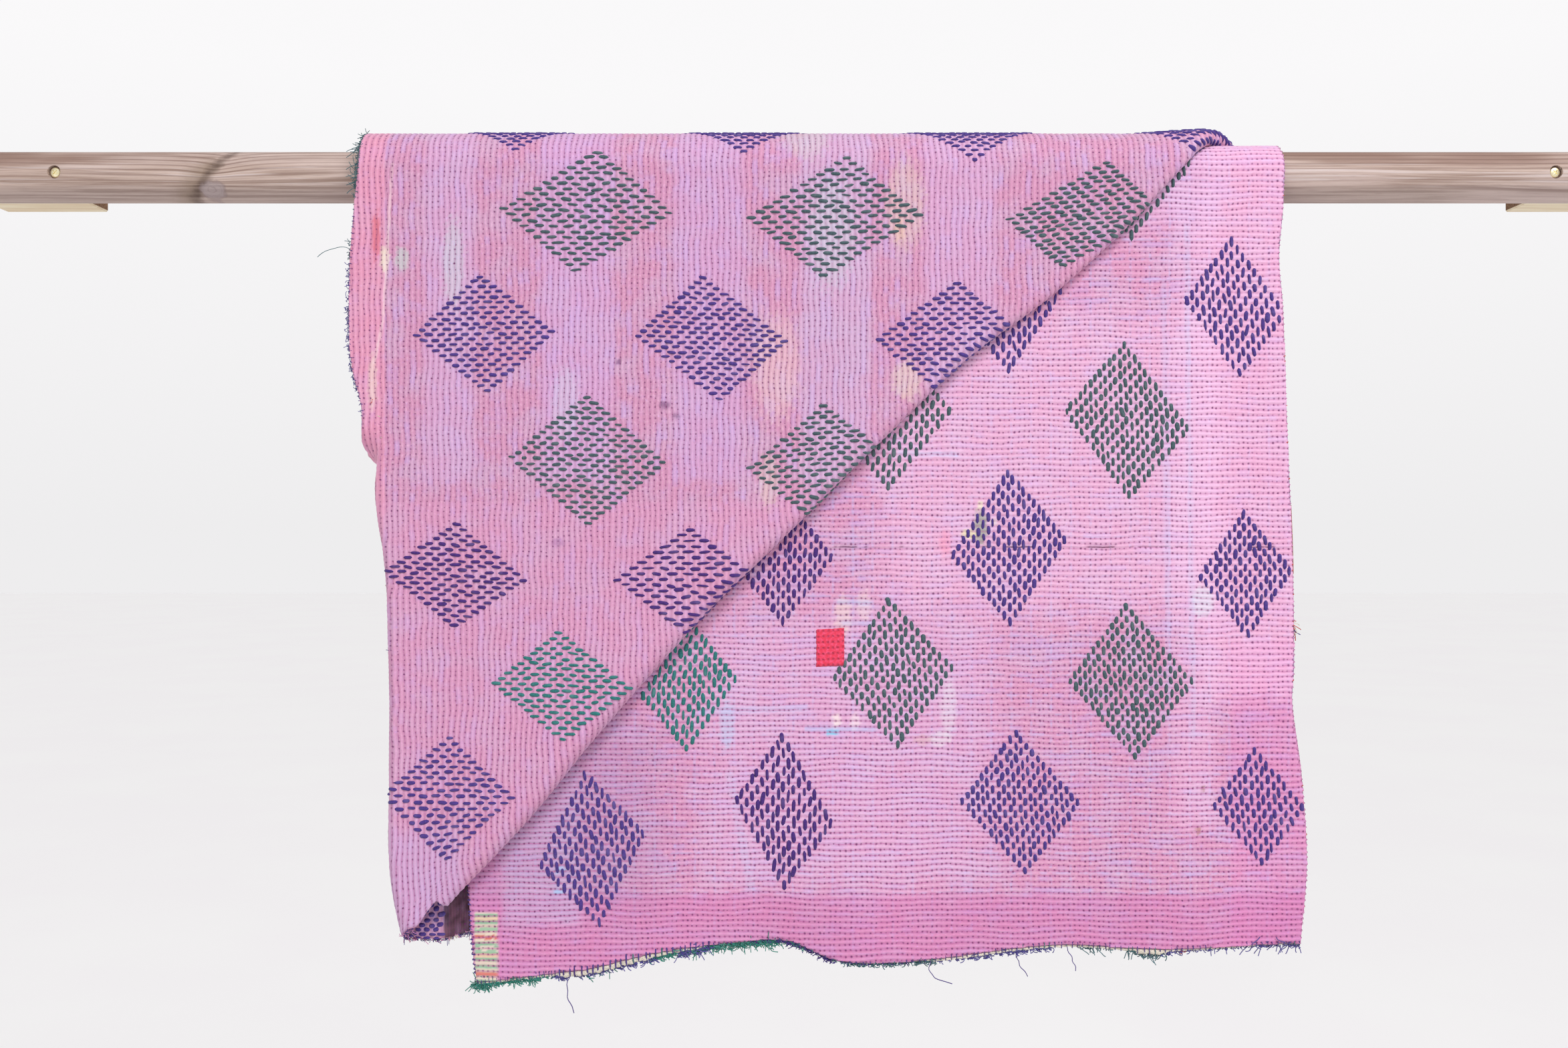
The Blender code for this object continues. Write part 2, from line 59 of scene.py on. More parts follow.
MM = 0.001
ROOT2 = math.sqrt(2)
LEFT, RIGHT, DOWN, ROOMWARD = np.array([[-1, 0, 0], [1, 0, 0], [0, 0, -1], [0, -1, 0]], float)

# ---------------------------------------------------------------- drape, as the solids have it
RAIL_RADIUS = 0.027
CLOTH = 0.0042
INNER = RAIL_RADIUS + CLOTH / 2 + 0.0005  # each layer's middle, measured from the rail's axis
LAYER_STEP = 0.0065
OUTER = INNER + LAYER_STEP
FLAP = OUTER + LAYER_STEP
WALL_TO_AXIS = 0.065
WRAP_RADIUS = 0.036  # lengths over the rail are reckoned at this radius
HALF_TURN = math.pi * WRAP_RADIUS
BACK_DROP = 0.150
BACK_SLANT = 0.014
BULB = 0.006
INNER_FOOT = -0.840
END_BLEND = 1 / 3
OUTER_FOOT = -0.770
SETTLE_RUN = 0.040
SETTLE_BY_RADIUS = 8
FLAT_TAIL = 0.020
TUCK_TOP = -0.270
TUCK_DEEP = -0.360
FLAP_DROOP = 0.029
FLAP_DROOP_TOP = -0.640
TAIL_DROOP = 0.009
TAIL_DROOP_RUN = 0.020
TAIL_BEHIND = 0.0075
TAIL_BEHIND_FROM = 0.411
TAIL_BEHIND_RUN = 0.024
RIPPLE = 0.0065
RIPPLE_TOP = -0.560
RIPPLE_SPAN = 0.300
RIPPLE_WAVES = ((0.300, 0.790, 0.6), (0.185, 0.610, 0.4))  # wavelength, place, share

# Level, left edge and right edge of the inner half, in millimetres
INNER_EDGES = (
    (0, 425, 1309),
    (-43, 426, 1307),
    (-93, 427, 1303),
    (-143, 428, 1307),
    (-284, 431, 1312),
    (-400, 433, 1317),
    (-525, 436, 1319),
    (-567, 437, 1317),
    (-658, 439, 1329),
    (-741, 441, 1334),
    (-822, 446, 1328),
    (-862, 451, 1326),
)
# Place along the inner half's bottom end, and its level, in millimetres
INNER_END = (
    (451, -862),
    (522, -853),
    (571, -847),
    (611, -837),
    (653, -828),
    (736, -820),
    (782, -818),
    (831, -836),
    (887, -840),
    (954, -836),
    (1023, -826),
    (1079, -822),
    (1145, -825),
    (1243, -824),
    (1328, -822),
)
# Level and left edge of the outer half, in millimetres
OUTER_EDGE = (
    (263, 420),
    (113, 416),
    (0, 410),
    (-200, 404),
    (-500, 397),
    (-700, 393),
    (-770, 391),
)
# Level, outermost line and radius of the diagonal roll, in millimetres
ROLL = (
    (113, 1309, 4.0),
    (57, 1251, 5.4),
    (0, 1192, 4.2),
    (-58, 1139, 4.0),
    (-134, 1055, 4.5),
    (-196, 972, 5.5),
    (-287, 876, 7.0),
    (-386, 776, 9.0),
    (-464, 696, 11.0),
    (-542, 625, 13.0),
    (-608, 568, 13.5),
    (-674, 515, 12.5),
    (-728, 465, 10.5),
    (-756, 438, 9.0),
    (-785, 412, 7.5),
)
# Level, left edge and length of the tail that turns behind the flap, in millimetres
FLAP_EDGE = (
    (113, 333, 20),
    (57, 329, 20),
    (0, 329, 20),
    (-41, 325, 20),
    (-115, 320, 20),
    (-206, 322, 20),
    (-255, 335, 22),
    (-313, 343, 34),
    (-354, 349, 46),
    (-420, 359, 58),
    (-486, 362, 66),
    (-568, 364, 74),
    (-651, 363, 84),
    (-715, 364, 97),
    (-770, 377, 98),
)

# Rows of the lining: inner front, over the rail, inner back, crosswise fold, outer back,
# over the rail, outer front
SECTION_ROWS = (100, 20, 14, 12, 14, 20, 76)
FOLD_SECTION = 5
FOLD_RUN = 0.012  # length of cloth in the crosswise fold
CLOTH_WIDTH = 0.88
COLUMNS = 96
ROLL_COLUMNS = 14
FLAP_COLUMNS = 84
TAIL_COLUMNS = 24
WELD = 0.00002

# ------------------------------------------------------------------------------ stitched top
ROW_PITCH = 5.4 * MM  # between two rows of running stitch
# between two stitches of a row
STITCH_PITCH = {"inner": 5.9 * MM, "flap": 6.0 * MM, "tail": 6.0 * MM}
PER_ROW = 2  # mesh cells from one row to the next
PER_STITCH = 3  # mesh cells from one stitch to the next
TOP_LIFT = 0.25 * MM  # from the lining's face to the top cloth's lowest points
RIDGE = 1.05 * MM
ROW_DIP = 0.22 * MM
STITCH_DIP = 0.45 * MM
RIDGE_SHARE = {"inner": 1.0, "flap": 0.72, "tail": 0.72}  # the flap was pressed flatter
PUCKER = 0.5 * MM
PUCKER_SIZE = 0.075  # from one slow rise of the face to the next
WANDER = 1.9 * MM  # how far the rows stray by hand
HEM_TURN = 0.9 * MM
UNDER_ROLL = 0.050  # how far the inner top runs on out of sight behind the roll
ROLL_AT_RAIL = 1.192  # where the roll's outermost line crosses the rail
SPLIT_LEVEL = -0.400  # the inner top is in two pieces, above and below
TAIL_SEWN_TO = 0.413  # the tail's bold stitches end here, short of its end, which is painted dark as shade of the fold

# Layer, colour, middle, half along the rows and half across them, in millimetres; the number
# of rows to each side of the middle one
DIAMONDS = (
    ("flap", "purple", 494, 81, 79, 0, 0, 61, 11),
    ("flap", "purple", 735, 79, 82, 0, 0, 62, 11),
    ("flap", "purple", 978, 73, 82, 0, 0, 65, 12),
    ("flap", "purple", 1214, 78, 82, 0, 0, 61, 11),
    ("flap", "slate", 570, -46, 92, -2, 11, 62, 11),
    ("flap", "slate", 831, -52, 93, 1, 12, 61, 11),
    ("flap", "slate", 1093, -50, 82, 5, 23, 54, 11),
    ("flap", "purple", 462, -175, 75, 2, -4, 60, 11),
    ("flap", "purple", 701, -180, 81, -3, -9, 63, 12),
    ("flap", "purple", 953, -181, 80, 0, 6, 59, 11),
    ("flap", "slate", 571, -308, 84, -3, -1, 66, 12),
    ("flap", "slate", 817, -313, 79, 4, 2, 61, 11),
    ("flap", "plum", 432, -429, 76, -5, 1, 53, 10),
    ("flap", "plum", 677, -434, 79, 0, 2, 52, 9),
    ("flap", "teal", 545, -544, 75, -1, -3, 54, 10),
    ("flap", "purple", 427, -659, 72, 0, -1, 58, 10),
    ("inner", "purple", 1256, -145, -5, 75, 51, -6, 9),
    ("inner", "slate", 1141, -265, -3, 84, 64, -9, 12),
    ("inner", "purple", 1016, -134, 0, 82, 55, 6, 10),
    ("inner", "slate", 1145, 8, -1, 82, 62, -1, 11),
    ("inner", "slate", 890, -257, 2, 83, 62, 2, 11),
    ("inner", "purple", 1016, -400, -1, 83, 59, 8, 11),
    ("inner", "purple", 1267, -428, -2, 68, 47, 3, 9),
    ("inner", "plum", 778, -414, 2, 69, 49, 3, 9),
    ("inner", "slate", 893, -533, -5, 80, 62, 5, 11),
    ("inner", "slate", 1145, -542, -5, 83, 64, 0, 12),
    ("inner", "teal", 677, -548, 3, 70, 48, 8, 9),
    ("inner", "plum", 777, -680, -1, 84, 50, -12, 9),
    ("inner", "purple", 1028, -670, -6, 77, 61, -1, 11),
    ("inner", "purple", 1281, -675, -5, 64, 47, -1, 8),
    ("inner", "purple", 574, -720, -8, 83, 54, 17, 10),
    ("tail", "purple", 388, -748, 58, 0, 0, 48, 11),
)
KNOT_SIZE = {"inner": 0.62, "flap": 0.46, "tail": 0.6}  # millimetres, of the smallest knots
KNOT_SPREAD = {"inner": 0.6, "flap": 0.45, "tail": 0.5}  # how much larger the largest are
THREAD_WIDTH = {"inner": 0.30, "flap": 0.46, "tail": 0.5}  # millimetres, half of it
THREAD_SHOW = {"inner": 0.0, "flap": 0.42, "tail": 0.1}  # how plainly the fine thread shows
LAYER_SHADE = {"inner": 1.0, "flap": 0.89, "tail": 0.75}  # how dark each layer's cloth is drawn: the flap's a little darker, the tail's darker still as painted shade of the fold
SHEEN = {"inner": 0.22, "flap": 0.22, "tail": 0.03}  # fibre ends; the tail is in the fold
GROOVE_PAINTED_SHADE = {"inner": 0.78, "flap": 0.55, "tail": 0.1}  # how dark the painted shade in the grooves is
DASH_SHARE = 0.69  # a bold stitch's length as a share of the way to the next one
DASH_WIDTH = 3.9 * MM
DASH_FULLNESS = {"inner": 1.0, "flap": 0.82, "tail": 0.9}  # the flap's thread is worn thinner
DASH_HEIGHT = 1.7 * MM
DASH_SINK = 0.3 * MM
THREAD = 1.1 * MM  # thickness of the loose threads

PATCH_MIDDLE = (0.8265, -0.5060)
PATCH_SIZE = (0.030, 0.040)
PATCH_CELLS = (34, 44)
PATCH_ROWS = 6.6  # rows of stitches from its bottom to its top
PATCH_THICK = 0.9 * MM
WOOD_KNOT = (0.1665, -0.0175, 12.5 * MM, 8.5 * MM)  # place along and up, half width and height
RESIN_STREAK = (0.1496, -0.0235)  # a point of its middle line, along and up
ACROSS_STREAK = (-0.752, 0.659)  # the way across that line, along and up
FLOOR_LEVEL = -1.95
FLOOR_SIZE = 60
CAMERA_PLACE = (0.7775, -1.565, -0.3752)
SENSOR_WIDTH = 36  # in millimetres, as the lens is
CAMERA_LENS = SENSOR_WIDTH * 2070 / 2346  # the view is 2346 wide at a distance of 2070
SKY = 0.97  # brightness of the plain studio round the part, at its top
HORIZON = 0.87  # and level with the eye
AMBIENT = 0.52  # what the studio gives the part as light
# Name, kind, place, what it is aimed at, size or spread and power of each soft lamp
LAMPS = (
    ("skylight", "SUN", (1.5, -2.2, 2.2), (0.8, 0.0, -0.4), math.radians(16), 1.6),
    ("window", "AREA", (2.3, -1.9, 1.5), (0.9, 0.0, -0.4), 0.9, 22),
    ("fill", "AREA", (-1.2, -2.6, 0.3), (0.8, 0.0, -0.4), 2.0, 4),
)

# Layer, left, right, lowest, highest, softness of the edges, in millimetres; colour, strength
TINTS = (
    ("inner", 1250, 1400, -900, -500, 14, "#DE7DBB", 0.35),
    ("inner", 400, 1400, -900, -768, 10, "#C972A8", 0.60),
    ("inner", 400, 478, -900, -600, 8, "#D878B4", 0.45),
    ("inner", 880, 1240, -470, -150, 70, "#F0C4E4", 0.42),
    ("inner", 700, 1000, -760, -480, 60, "#DDB9E0", 0.40),
    ("inner", 1220, 1400, -560, 60, 36, "#F3BEE0", 0.50),
    ("inner", 1190, 1235, -700, -20, 24, "#E9C6E9", 0.32),
    ("inner", 700, 1240, -60, 60, 30, "#D9B7DD", 0.45),
    ("inner", 480, 560, -800, -560, 14, "#C3BCE0", 0.45),
    # painted shadow of the flap's roll on the inner half's lower left
    ("inner", 420, 650, -780, -580, 90, "#A084AA", 0.55),
    # painted shade: the tail's end, deep in the fold, is painted near black
    ("tail", 415, 470, -900, -500, 2, "#1C1014", 0.98),
    ("flap", 300, 358, -560, 120, 2, "#E394AC", 0.60),
    ("flap", 400, 452, -330, 120, 10, "#C9A8D2", 0.50),
    ("flap", 522, 597, -330, 120, 14, "#C8A5D6", 0.50),
    ("flap", 662, 735, -330, 120, 14, "#C6A3D2", 0.50),
    ("flap", 795, 868, -330, 120, 12, "#C4ACD0", 0.55),
    ("flap", 925, 1000, -250, 120, 14, "#CDAAD4", 0.45),
    ("flap", 300, 900, -800, -352, 5, "#D297BA", 0.40),
    ("flap", 360, 440, -800, -690, 16, "#BFA6D2", 0.55),
)
# Layer, middle, half width and half height, in millimetres; colour, strength
SPOTS = (
    ("inner", 833, -584, 5, 9, "#F2E6DC", 0.60),
    ("inner", 853, -585, 6, 9, "#F0E2E0", 0.45),
    ("inner", 828, -596, 8, 4, "#79C3DF", 0.90),
    ("inner", 840, -472, 10, 24, "#E6CFC4", 0.48),
    ("inner", 862, -462, 8, 18, "#E4CFCA", 0.42),
    ("inner", 952, -572, 9, 34, "#D9D3DE", 0.50),
    ("inner", 942, -603, 12, 9, "#D9DDDD", 0.40),
    ("inner", 925, -604, 10, 6, "#C9A79E", 0.40),
    ("inner", 717, -588, 9, 30, "#B3C2E2", 0.60),
    ("inner", 1221, -457, 13, 18, "#CBD9E2", 0.50),
    ("inner", 986, -379, 8, 21, "#9A9E93", 0.90),
    ("inner", 974, -386, 9, 6, "#DDD3A8", 0.85),
    ("inner", 985, -356, 4, 6, "#E3DCC0", 0.75),
    ("inner", 1000, -373, 5, 4, "#D8CFCB", 0.60),
    ("inner", 949, -395, 7, 14, "#F08FA6", 0.40),
    ("inner", 1216, -700, 4, 5, "#A87C6E", 0.70),
    ("inner", 1222, -655, 3, 4, "#9C7768", 0.65),
    ("inner", 540, -742, 6, 4, "#8FBFE6", 0.70),
    ("inner", 538, -765, 6, 3, "#8FBFE6", 0.70),
    ("flap", 349, -72, 5, 26, "#CC6470", 0.75),
    ("flap", 358, -97, 5, 16, "#E0D6C0", 0.80),
    ("flap", 376, -97, 8, 14, "#B3BDBA", 0.70),
    ("flap", 345, -225, 5, 30, "#E4D4C4", 0.50),
    ("flap", 905, -40, 22, 50, "#D2BEAC", 0.42),
    ("flap", 899, -66, 6, 14, "#DDB496", 0.45),
    ("flap", 906, -225, 16, 22, "#D8CBB0", 0.42),
    ("flap", 770, -210, 26, 60, "#DDBDBE", 0.45),
    ("flap", 762, -330, 12, 30, "#D0C0B0", 0.45),
    ("flap", 828, -70, 26, 60, "#B9BFCB", 0.50),
    ("flap", 800, 40, 26, 34, "#BFC4BE", 0.35),
    ("flap", 430, -100, 12, 50, "#BAC6CC", 0.45),
    ("flap", 548, -250, 16, 40, "#C0C0D6", 0.40),
    ("flap", 540, -395, 8, 5, "#7E4A8A", 0.35),
    ("flap", 652, -250, 7, 4, "#4C3460", 0.60),
    ("flap", 664, -262, 5, 3, "#4C3460", 0.50),
    ("flap", 604, -205, 3, 3, "#63406E", 0.70),
)
# Layer, from, to, half width, in millimetres; colour, strength
STREAKS = (
    ("inner", 802, -592, 874, -593, 3.0, "#9DB9E8", 0.42),
    ("inner", 836, -458, 868, -459, 3.0, "#A9BCE6", 0.45),
    ("inner", 840, -480, 872, -481, 3.0, "#A9BCE6", 0.35),
    ("inner", 690, -574, 800, -570, 4.0, "#B4BEE6", 0.35),
    ("inner", 720, -640, 742, -760, 5.0, "#B8BEE2", 0.30),
    ("inner", 900, -300, 960, -302, 3.0, "#BFC8EA", 0.45),
    ("inner", 1180, -120, 1186, -560, 3.5, "#B9BCE6", 0.28),
    ("inner", 1204, -60, 1212, -600, 3.0, "#B4C4E6", 0.24),
    ("flap", 366, 4, 356, -162, 1.6, "#EBD0D3", 0.50),
    ("flap", 356, -162, 347, -205, 1.6, "#EBD0D3", 0.50),
    ("flap", 400, -660, 470, -652, 2.0, "#C98FC0", 0.40),
)
# Loose threads below the inner half's end: from and to along the rail, colour, how many curl
# there and how widely, how many hang and how far, in millimetres
CLUMPS = (
    (448, 467, "green", 80, 3.2, 34, 15),
    (468, 486, "green", 40, 2.2, 10, 9),
    (487, 516, "green", 80, 2.6, 26, 12),
    (516, 536, "green", 20, 1.6, 5, 6),
    (537, 549, "iris", 34, 2.3, 8, 8),
    (556, 622, "iris", 60, 2.1, 10, 7),
    (562, 600, "green", 12, 1.8, 10, 13),
    (612, 642, "iris", 40, 3.0, 10, 9),
    (638, 664, "green", 66, 2.4, 14, 7),
    (664, 696, "iris", 44, 3.4, 22, 16),
    (668, 700, "green", 36, 3.0, 18, 15),
    (690, 772, "green", 210, 3.2, 90, 14),
    (742, 800, "purple", 130, 2.1, 20, 6),
    (770, 802, "green", 40, 2.2, 12, 7),
    (800, 828, "purple", 60, 2.0, 12, 6),
    (826, 906, "petrol", 100, 2.0, 20, 6),
    (838, 930, "purple", 36, 1.5, 8, 5),
    (905, 941, "petrol", 50, 2.4, 16, 7),
    (940, 974, "iris", 20, 1.6, 6, 5),
    (972, 1062, "iris", 120, 2.4, 26, 8),
    (1090, 1126, "petrol", 18, 2.0, 12, 14),
    (1140, 1178, "petrol", 34, 2.8, 24, 15),
    (1180, 1218, "iris", 44, 1.8, 8, 5),
    (1188, 1206, "ember", 8, 1.5, 2, 4),
    (1226, 1262, "iris", 24, 1.7, 14, 10),
    (1262, 1328, "iris", 46, 1.8, 40, 14),
)
# The same end's whipping: from and to, way between stitches, their half thickness and reach
WHIPPED = (
    (453, 536, 4.1, 0.40, 4.2),
    (538, 698, 6.1, 0.85, 5.4),
    (702, 934, 6.6, 0.60, 1.8),
    (938, 1327, 5.8, 0.50, 3.4),
)
# The inner half's right and left edges are whipped from, to and in steps of these
RIGHT_WHIPPED = (-0.815, 0.070, 0.0065)
LEFT_WHIPPED = (-0.858, -0.700, 0.0052)
# Levels on the right edge: its rust piping, with the points along it, and a worn place
PIPING = (-0.355, -0.428, 14)
WORN_EDGE = (-0.491, -0.476)
# Long threads that hang well below the rest: colour, place along the end, how far aside and up
# from there each one ends, and how far aside and up it bows on the way
LONG_THREADS = (
    ("purple", 0.5515, 0.004, -0.044, -0.006, 0.0),
    ("purple", 0.9330, 0.024, -0.026, -0.010, -0.004),
    ("purple", 1.0240, 0.013, -0.030, -0.004, 0.0),
    ("purple", 1.0760, 0.012, -0.028, 0.001, 0.0),
    ("green", 0.7540, 0.018, -0.013, 0.0, -0.004),
)
# The flap's end: its topmost whipping over the rail, where it begins to turn behind, and the
# last stitch in its fold
FLAP_TOP = HALF_TURN * 0.55 * (FLAP + CLOTH / 2) / WRAP_RADIUS
FLAP_TURN = -0.262
FLAP_FOLD_END = -0.735
RED_FRAY = (-0.278, -0.240)  # levels between which the fold's short threads are red
STRAY_THREAD = -0.086  # level of the one that has worked loose
# Its loose threads: from, to, colour, how many curl and how widely, how many stand off and how
# far, the last in millimetres
FLAP_CLUMPS = (
    (-0.030, FLAP_TOP, "petrol", 90, 1.4, 30, 11),
    (0.020, 0.034, "petrol", 8, 1.4, 12, 19),
    (-0.024, 0.004, "petrol", 6, 1.4, 16, 17),
    (-0.100, -0.078, "petrol", 8, 1.8, 7, 9),
    (-0.235, -0.105, "iris", 58, 2.2, 16, 8),
    (FLAP_TURN, -0.100, "iris", 20, 1.2, 3, 4),
)
EDGE_ROLL_RUN = (0.4515, 1.3275, 420)  # from, to and the number of its rings
EDGE_ROLL_SIDES = 8
# Half thickness of the cream roll in the inner half's end, at places along it
EDGE_ROLL = ((451, 1.2), (532, 1.4), (545, 2.6), (560, 2.9), (625, 2.7), (660, 1.7), (690, 1.3),
             (702, 0.4), (925, 0.4), (940, 1.5), (1060, 1.4), (1148, 1.5), (1156, 2.7),
             (1178, 2.7), (1188, 1.3), (1262, 0.8), (1328, 0.5))
# Where the cloth at the inner half's lower left corner is woven in stripes: left, right,
# lowest and highest, in millimetres
STRIPED = (449, 474, -862, -787)
STRIPE_WIDTH = 3.9 * MM
STRIPES = ("#D9CFB6", "#CC7460", "#D8CDB4", "#8DBE97", "#D6C9B4", "#7FB68F", "#DCC3A0",
           "#88BC93", "#D9D0BC", "#86B992")


def linear(code):
    """Linear colour of an sRGB hex value."""
    parts = [int(code[i:i + 2], 16) / 255 for i in (1, 3, 5)]
    return tuple(c / 12.92 if c <= 0.04045 else ((c + 0.055) / 1.055) ** 2.4 for c in parts)


def mix(low, high, share):
    """Value a share of the way from one to the other."""
    return low + (high - low) * share


def smooth(share):
    """Ease from 0 to 1, flat at both ends."""
    share = np.clip(share, 0.0, 1.0)
    return share * share * (3 - 2 * share)


def read(rows, at, column=1):
    """Value in a table of millimetre rows at places in metres, on a smooth curve."""
    table = np.array(rows if rows[0][0] < rows[-1][0] else rows[::-1], float)
    places, values = table[:, 0], table[:, column]
    last = len(places) - 1
    low = np.maximum(np.arange(last + 1) - 1, 0)
    high = np.minimum(np.arange(last + 1) + 1, last)
    slopes = (values[high] - values[low]) / (places[high] - places[low])
    at = np.clip(np.asarray(at, float) / MM, places[0], places[-1])
    slot = np.clip(np.searchsorted(places, at, side="right") - 1, 0, last - 1)
    span = places[slot + 1] - places[slot]
    share = (at - places[slot]) / span
    square, cube = share ** 2, share ** 3
    value = (
        (2 * cube - 3 * square + 1) * values[slot]
        + (cube - 2 * square + share) * span * slopes[slot]
        + (3 * square - 2 * cube) * values[slot + 1]
        + (cube - square) * span * slopes[slot + 1]
    )
    return value * MM


def ripple(x, level):
    """How far the hanging cloth waves towards the room, the same for every layer."""
    rise = RIPPLE * smooth((RIPPLE_TOP - level) / RIPPLE_SPAN)
    waves = (share * np.sin(2 * np.pi * (x - place) / length)
             for length, place, share in RIPPLE_WAVES)
    return rise * sum(waves)


def wrap(x, level, offset):
    """Points of the cloth: below 0 it hangs in front, then goes over the rail and down."""
    x, level, offset = np.broadcast_arrays(x, level, offset)
    turn = np.clip(level, 0, HALF_TURN) / WRAP_RADIUS
    y = -WALL_TO_AXIS - offset * np.cos(turn) - np.where(level < 0, ripple(x, level), 0)
    z = offset * np.sin(turn) + np.minimum(level, 0) - np.maximum(level - HALF_TURN, 0)
    return np.stack([x, y, z], axis=-1)


def fold_level(u):
    """Length along the cloth at which the crosswise fold lies, behind the rail."""
    return HALF_TURN + BACK_DROP + BACK_SLANT * (u - 0.5)


def parting(level):
    """How far the two layers lie apart behind the rail."""
    return BULB * smooth((level - HALF_TURN) / BACK_DROP)


def inner_x(u, level):
    """Place across the inner half, from its left edge to its right edge."""
    level = np.minimum(level, 0)
    return mix(read(INNER_EDGES, level, 1), read(INNER_EDGES, level, 2), u)


def inner_end(u):
    """Point at the bottom of the inner half."""
    level = read(INNER_END, inner_x(u, INNER_FOOT))
    return inner_x(u, level), level


def roll_at(level):
    """Radius of the roll, and its outermost point, for the row at this level."""
    radius = read(ROLL, level, 2)
    foot = level - radius / ROOT2
    return radius, read(ROLL, foot, 1), foot


def roll_start(level):
    """Place at which the flap's row at this level leaves the roll."""
    radius, edge, _ = roll_at(level)
    return edge - radius / ROOT2


def outer_x(u, level):
    """Place across the outer half, from its left edge to its right edge or the roll."""
    right = np.where(level <= HALF_TURN, roll_start(level), read(INNER_EDGES, 0, 2))
    return mix(read(OUTER_EDGE, level), right, u)


def row_level(section, share):
    """Level of a row over the rail, or on the outer half's hanging part."""
    return HALF_TURN * (1 - share) if section == FOLD_SECTION else OUTER_FOOT * share


def body_point(u, section, share):
    """Points of the doubled body; u runs from the left edge to the right edge or the roll."""
    deep = fold_level(u)
    if section == 0:
        x_end, end = inner_end(u)
        level = mix(end, 0, share)
        return wrap(mix(x_end, inner_x(u, level), smooth(share / END_BLEND)), level, INNER)
    if section == 1:
        return wrap(inner_x(u, 0), HALF_TURN * share, INNER)
    if section == 2:
        level = mix(HALF_TURN, deep, share)
        return wrap(inner_x(u, 0), level, INNER - parting(level) / 2)
    if section == 3:
        turn = math.pi * share
        radius = (LAYER_STEP + BULB) / 2
        middle = INNER + LAYER_STEP / 2
        x = mix(inner_x(u, 0), outer_x(u, deep), share)
        return wrap(x, deep + radius * math.sin(turn), middle - radius * math.cos(turn))
    if section == 4:
        level = mix(deep, HALF_TURN, share)
        return wrap(outer_x(u, level), level, OUTER + parting(level) / 2)
    level = row_level(section, share)
    return wrap(outer_x(u, level), level, OUTER)


def roll_point(share, level):
    """Points round the diagonal roll, from the hanging part at its back to the flap in front."""
    radius, edge, foot = roll_at(level)
    turn = np.pi * share
    out = -radius * (1 - np.sin(turn)) / ROOT2
    return wrap(edge + out, foot - out, OUTER + radius * (1 - np.cos(turn)))


def flap_offset(gap, radius):
    """The flap stands off the hanging part by the roll's width, and settles away from it."""
    stand = 2 * radius - LAYER_STEP
    return FLAP + stand * (1 - smooth(gap / (SETTLE_RUN + SETTLE_BY_RADIUS * radius)))


def tuck(level):
    """How far the flap's margin is turned behind, from 0 to 1."""
    return smooth((TUCK_TOP - level) / (TUCK_TOP - TUCK_DEEP))


def flap_droop(level):
    """How far the flap's row hangs below where it leaves the roll."""
    return FLAP_DROOP * smooth((FLAP_DROOP_TOP - level) / (FLAP_DROOP_TOP - OUTER_FOOT))


def flap_row(level):
    """Where the flap's row leaves the roll, its run to the margin and the roll's radius.

    With them, where the margin begins, how far out the cloth lies there and how it turns.
    """
    radius, edge, _ = roll_at(level)
    start = edge - radius / ROOT2
    end = read(FLAP_EDGE, level, 1)
    gap = start - end - FLAT_TAIL
    offset = flap_offset(gap, radius)
    turn_radius = (offset - INNER) / 2
    margin = end + mix(FLAT_TAIL, turn_radius, tuck(level))
    return start, gap, radius, margin, offset, turn_radius


def flap_margin(level):
    """Where the flap's margin begins at this level, and the radius at which it turns behind."""
    _, _, _, margin, _, turn_radius = flap_row(level)
    return margin, turn_radius


def roll_foot(x, level, start):
    """Level at which the row through a place leaves the roll, found in a few halving steps."""
    foot = level + np.maximum(x - start, 0) / 2
    for _ in range(5):
        foot = foot + (x - roll_start(foot) - (foot - level)) / 2
    return foot


def flap_point(share, level):
    """Points of the flap, from the roll to where its margin begins."""
    start, gap, radius, margin, _, _ = flap_row(level)
    droop = flap_droop(level) * smooth(share)
    return wrap(mix(start, margin, share), level - droop, flap_offset(gap * share, radius))


def tail_point(share, level):
    """Points of the flap's margin, which lies flat higher up and turns behind lower down."""
    _, _, _, margin, offset, turn_radius = flap_row(level)
    run = read(FLAP_EDGE, level, 2) * share
    turn_end = np.pi * tuck(level)
    bent = np.minimum(run, turn_radius * turn_end)
    turn = bent / turn_radius
    depth = turn_radius * (1 - np.cos(turn)) + (run - bent) * np.sin(turn_end)
    x = margin - turn_radius * np.sin(turn) - (run - bent) * np.cos(turn_end)
    behind = TAIL_BEHIND * smooth((x - TAIL_BEHIND_FROM) / TAIL_BEHIND_RUN)
    droop = flap_droop(level)
    sag = TAIL_DROOP * (1 + np.sin(np.pi * share)) * smooth(run / TAIL_DROOP_RUN)
    droop = droop + sag * droop / FLAP_DROOP
    return wrap(x, level - droop, offset - depth - behind)


# ------------------------------------------------------- places on the cloth as it lay flat
def to_level(place, offset):
    """Level of a place along the cloth, whose face is stretched or eased over the rail."""
    return np.where(place > 0, place * WRAP_RADIUS / (offset + CLOTH / 2), place)


def inner_place(x, along):
    """Middle of the inner half at a place across and along it."""
    return wrap(x, to_level(along, INNER), INNER)


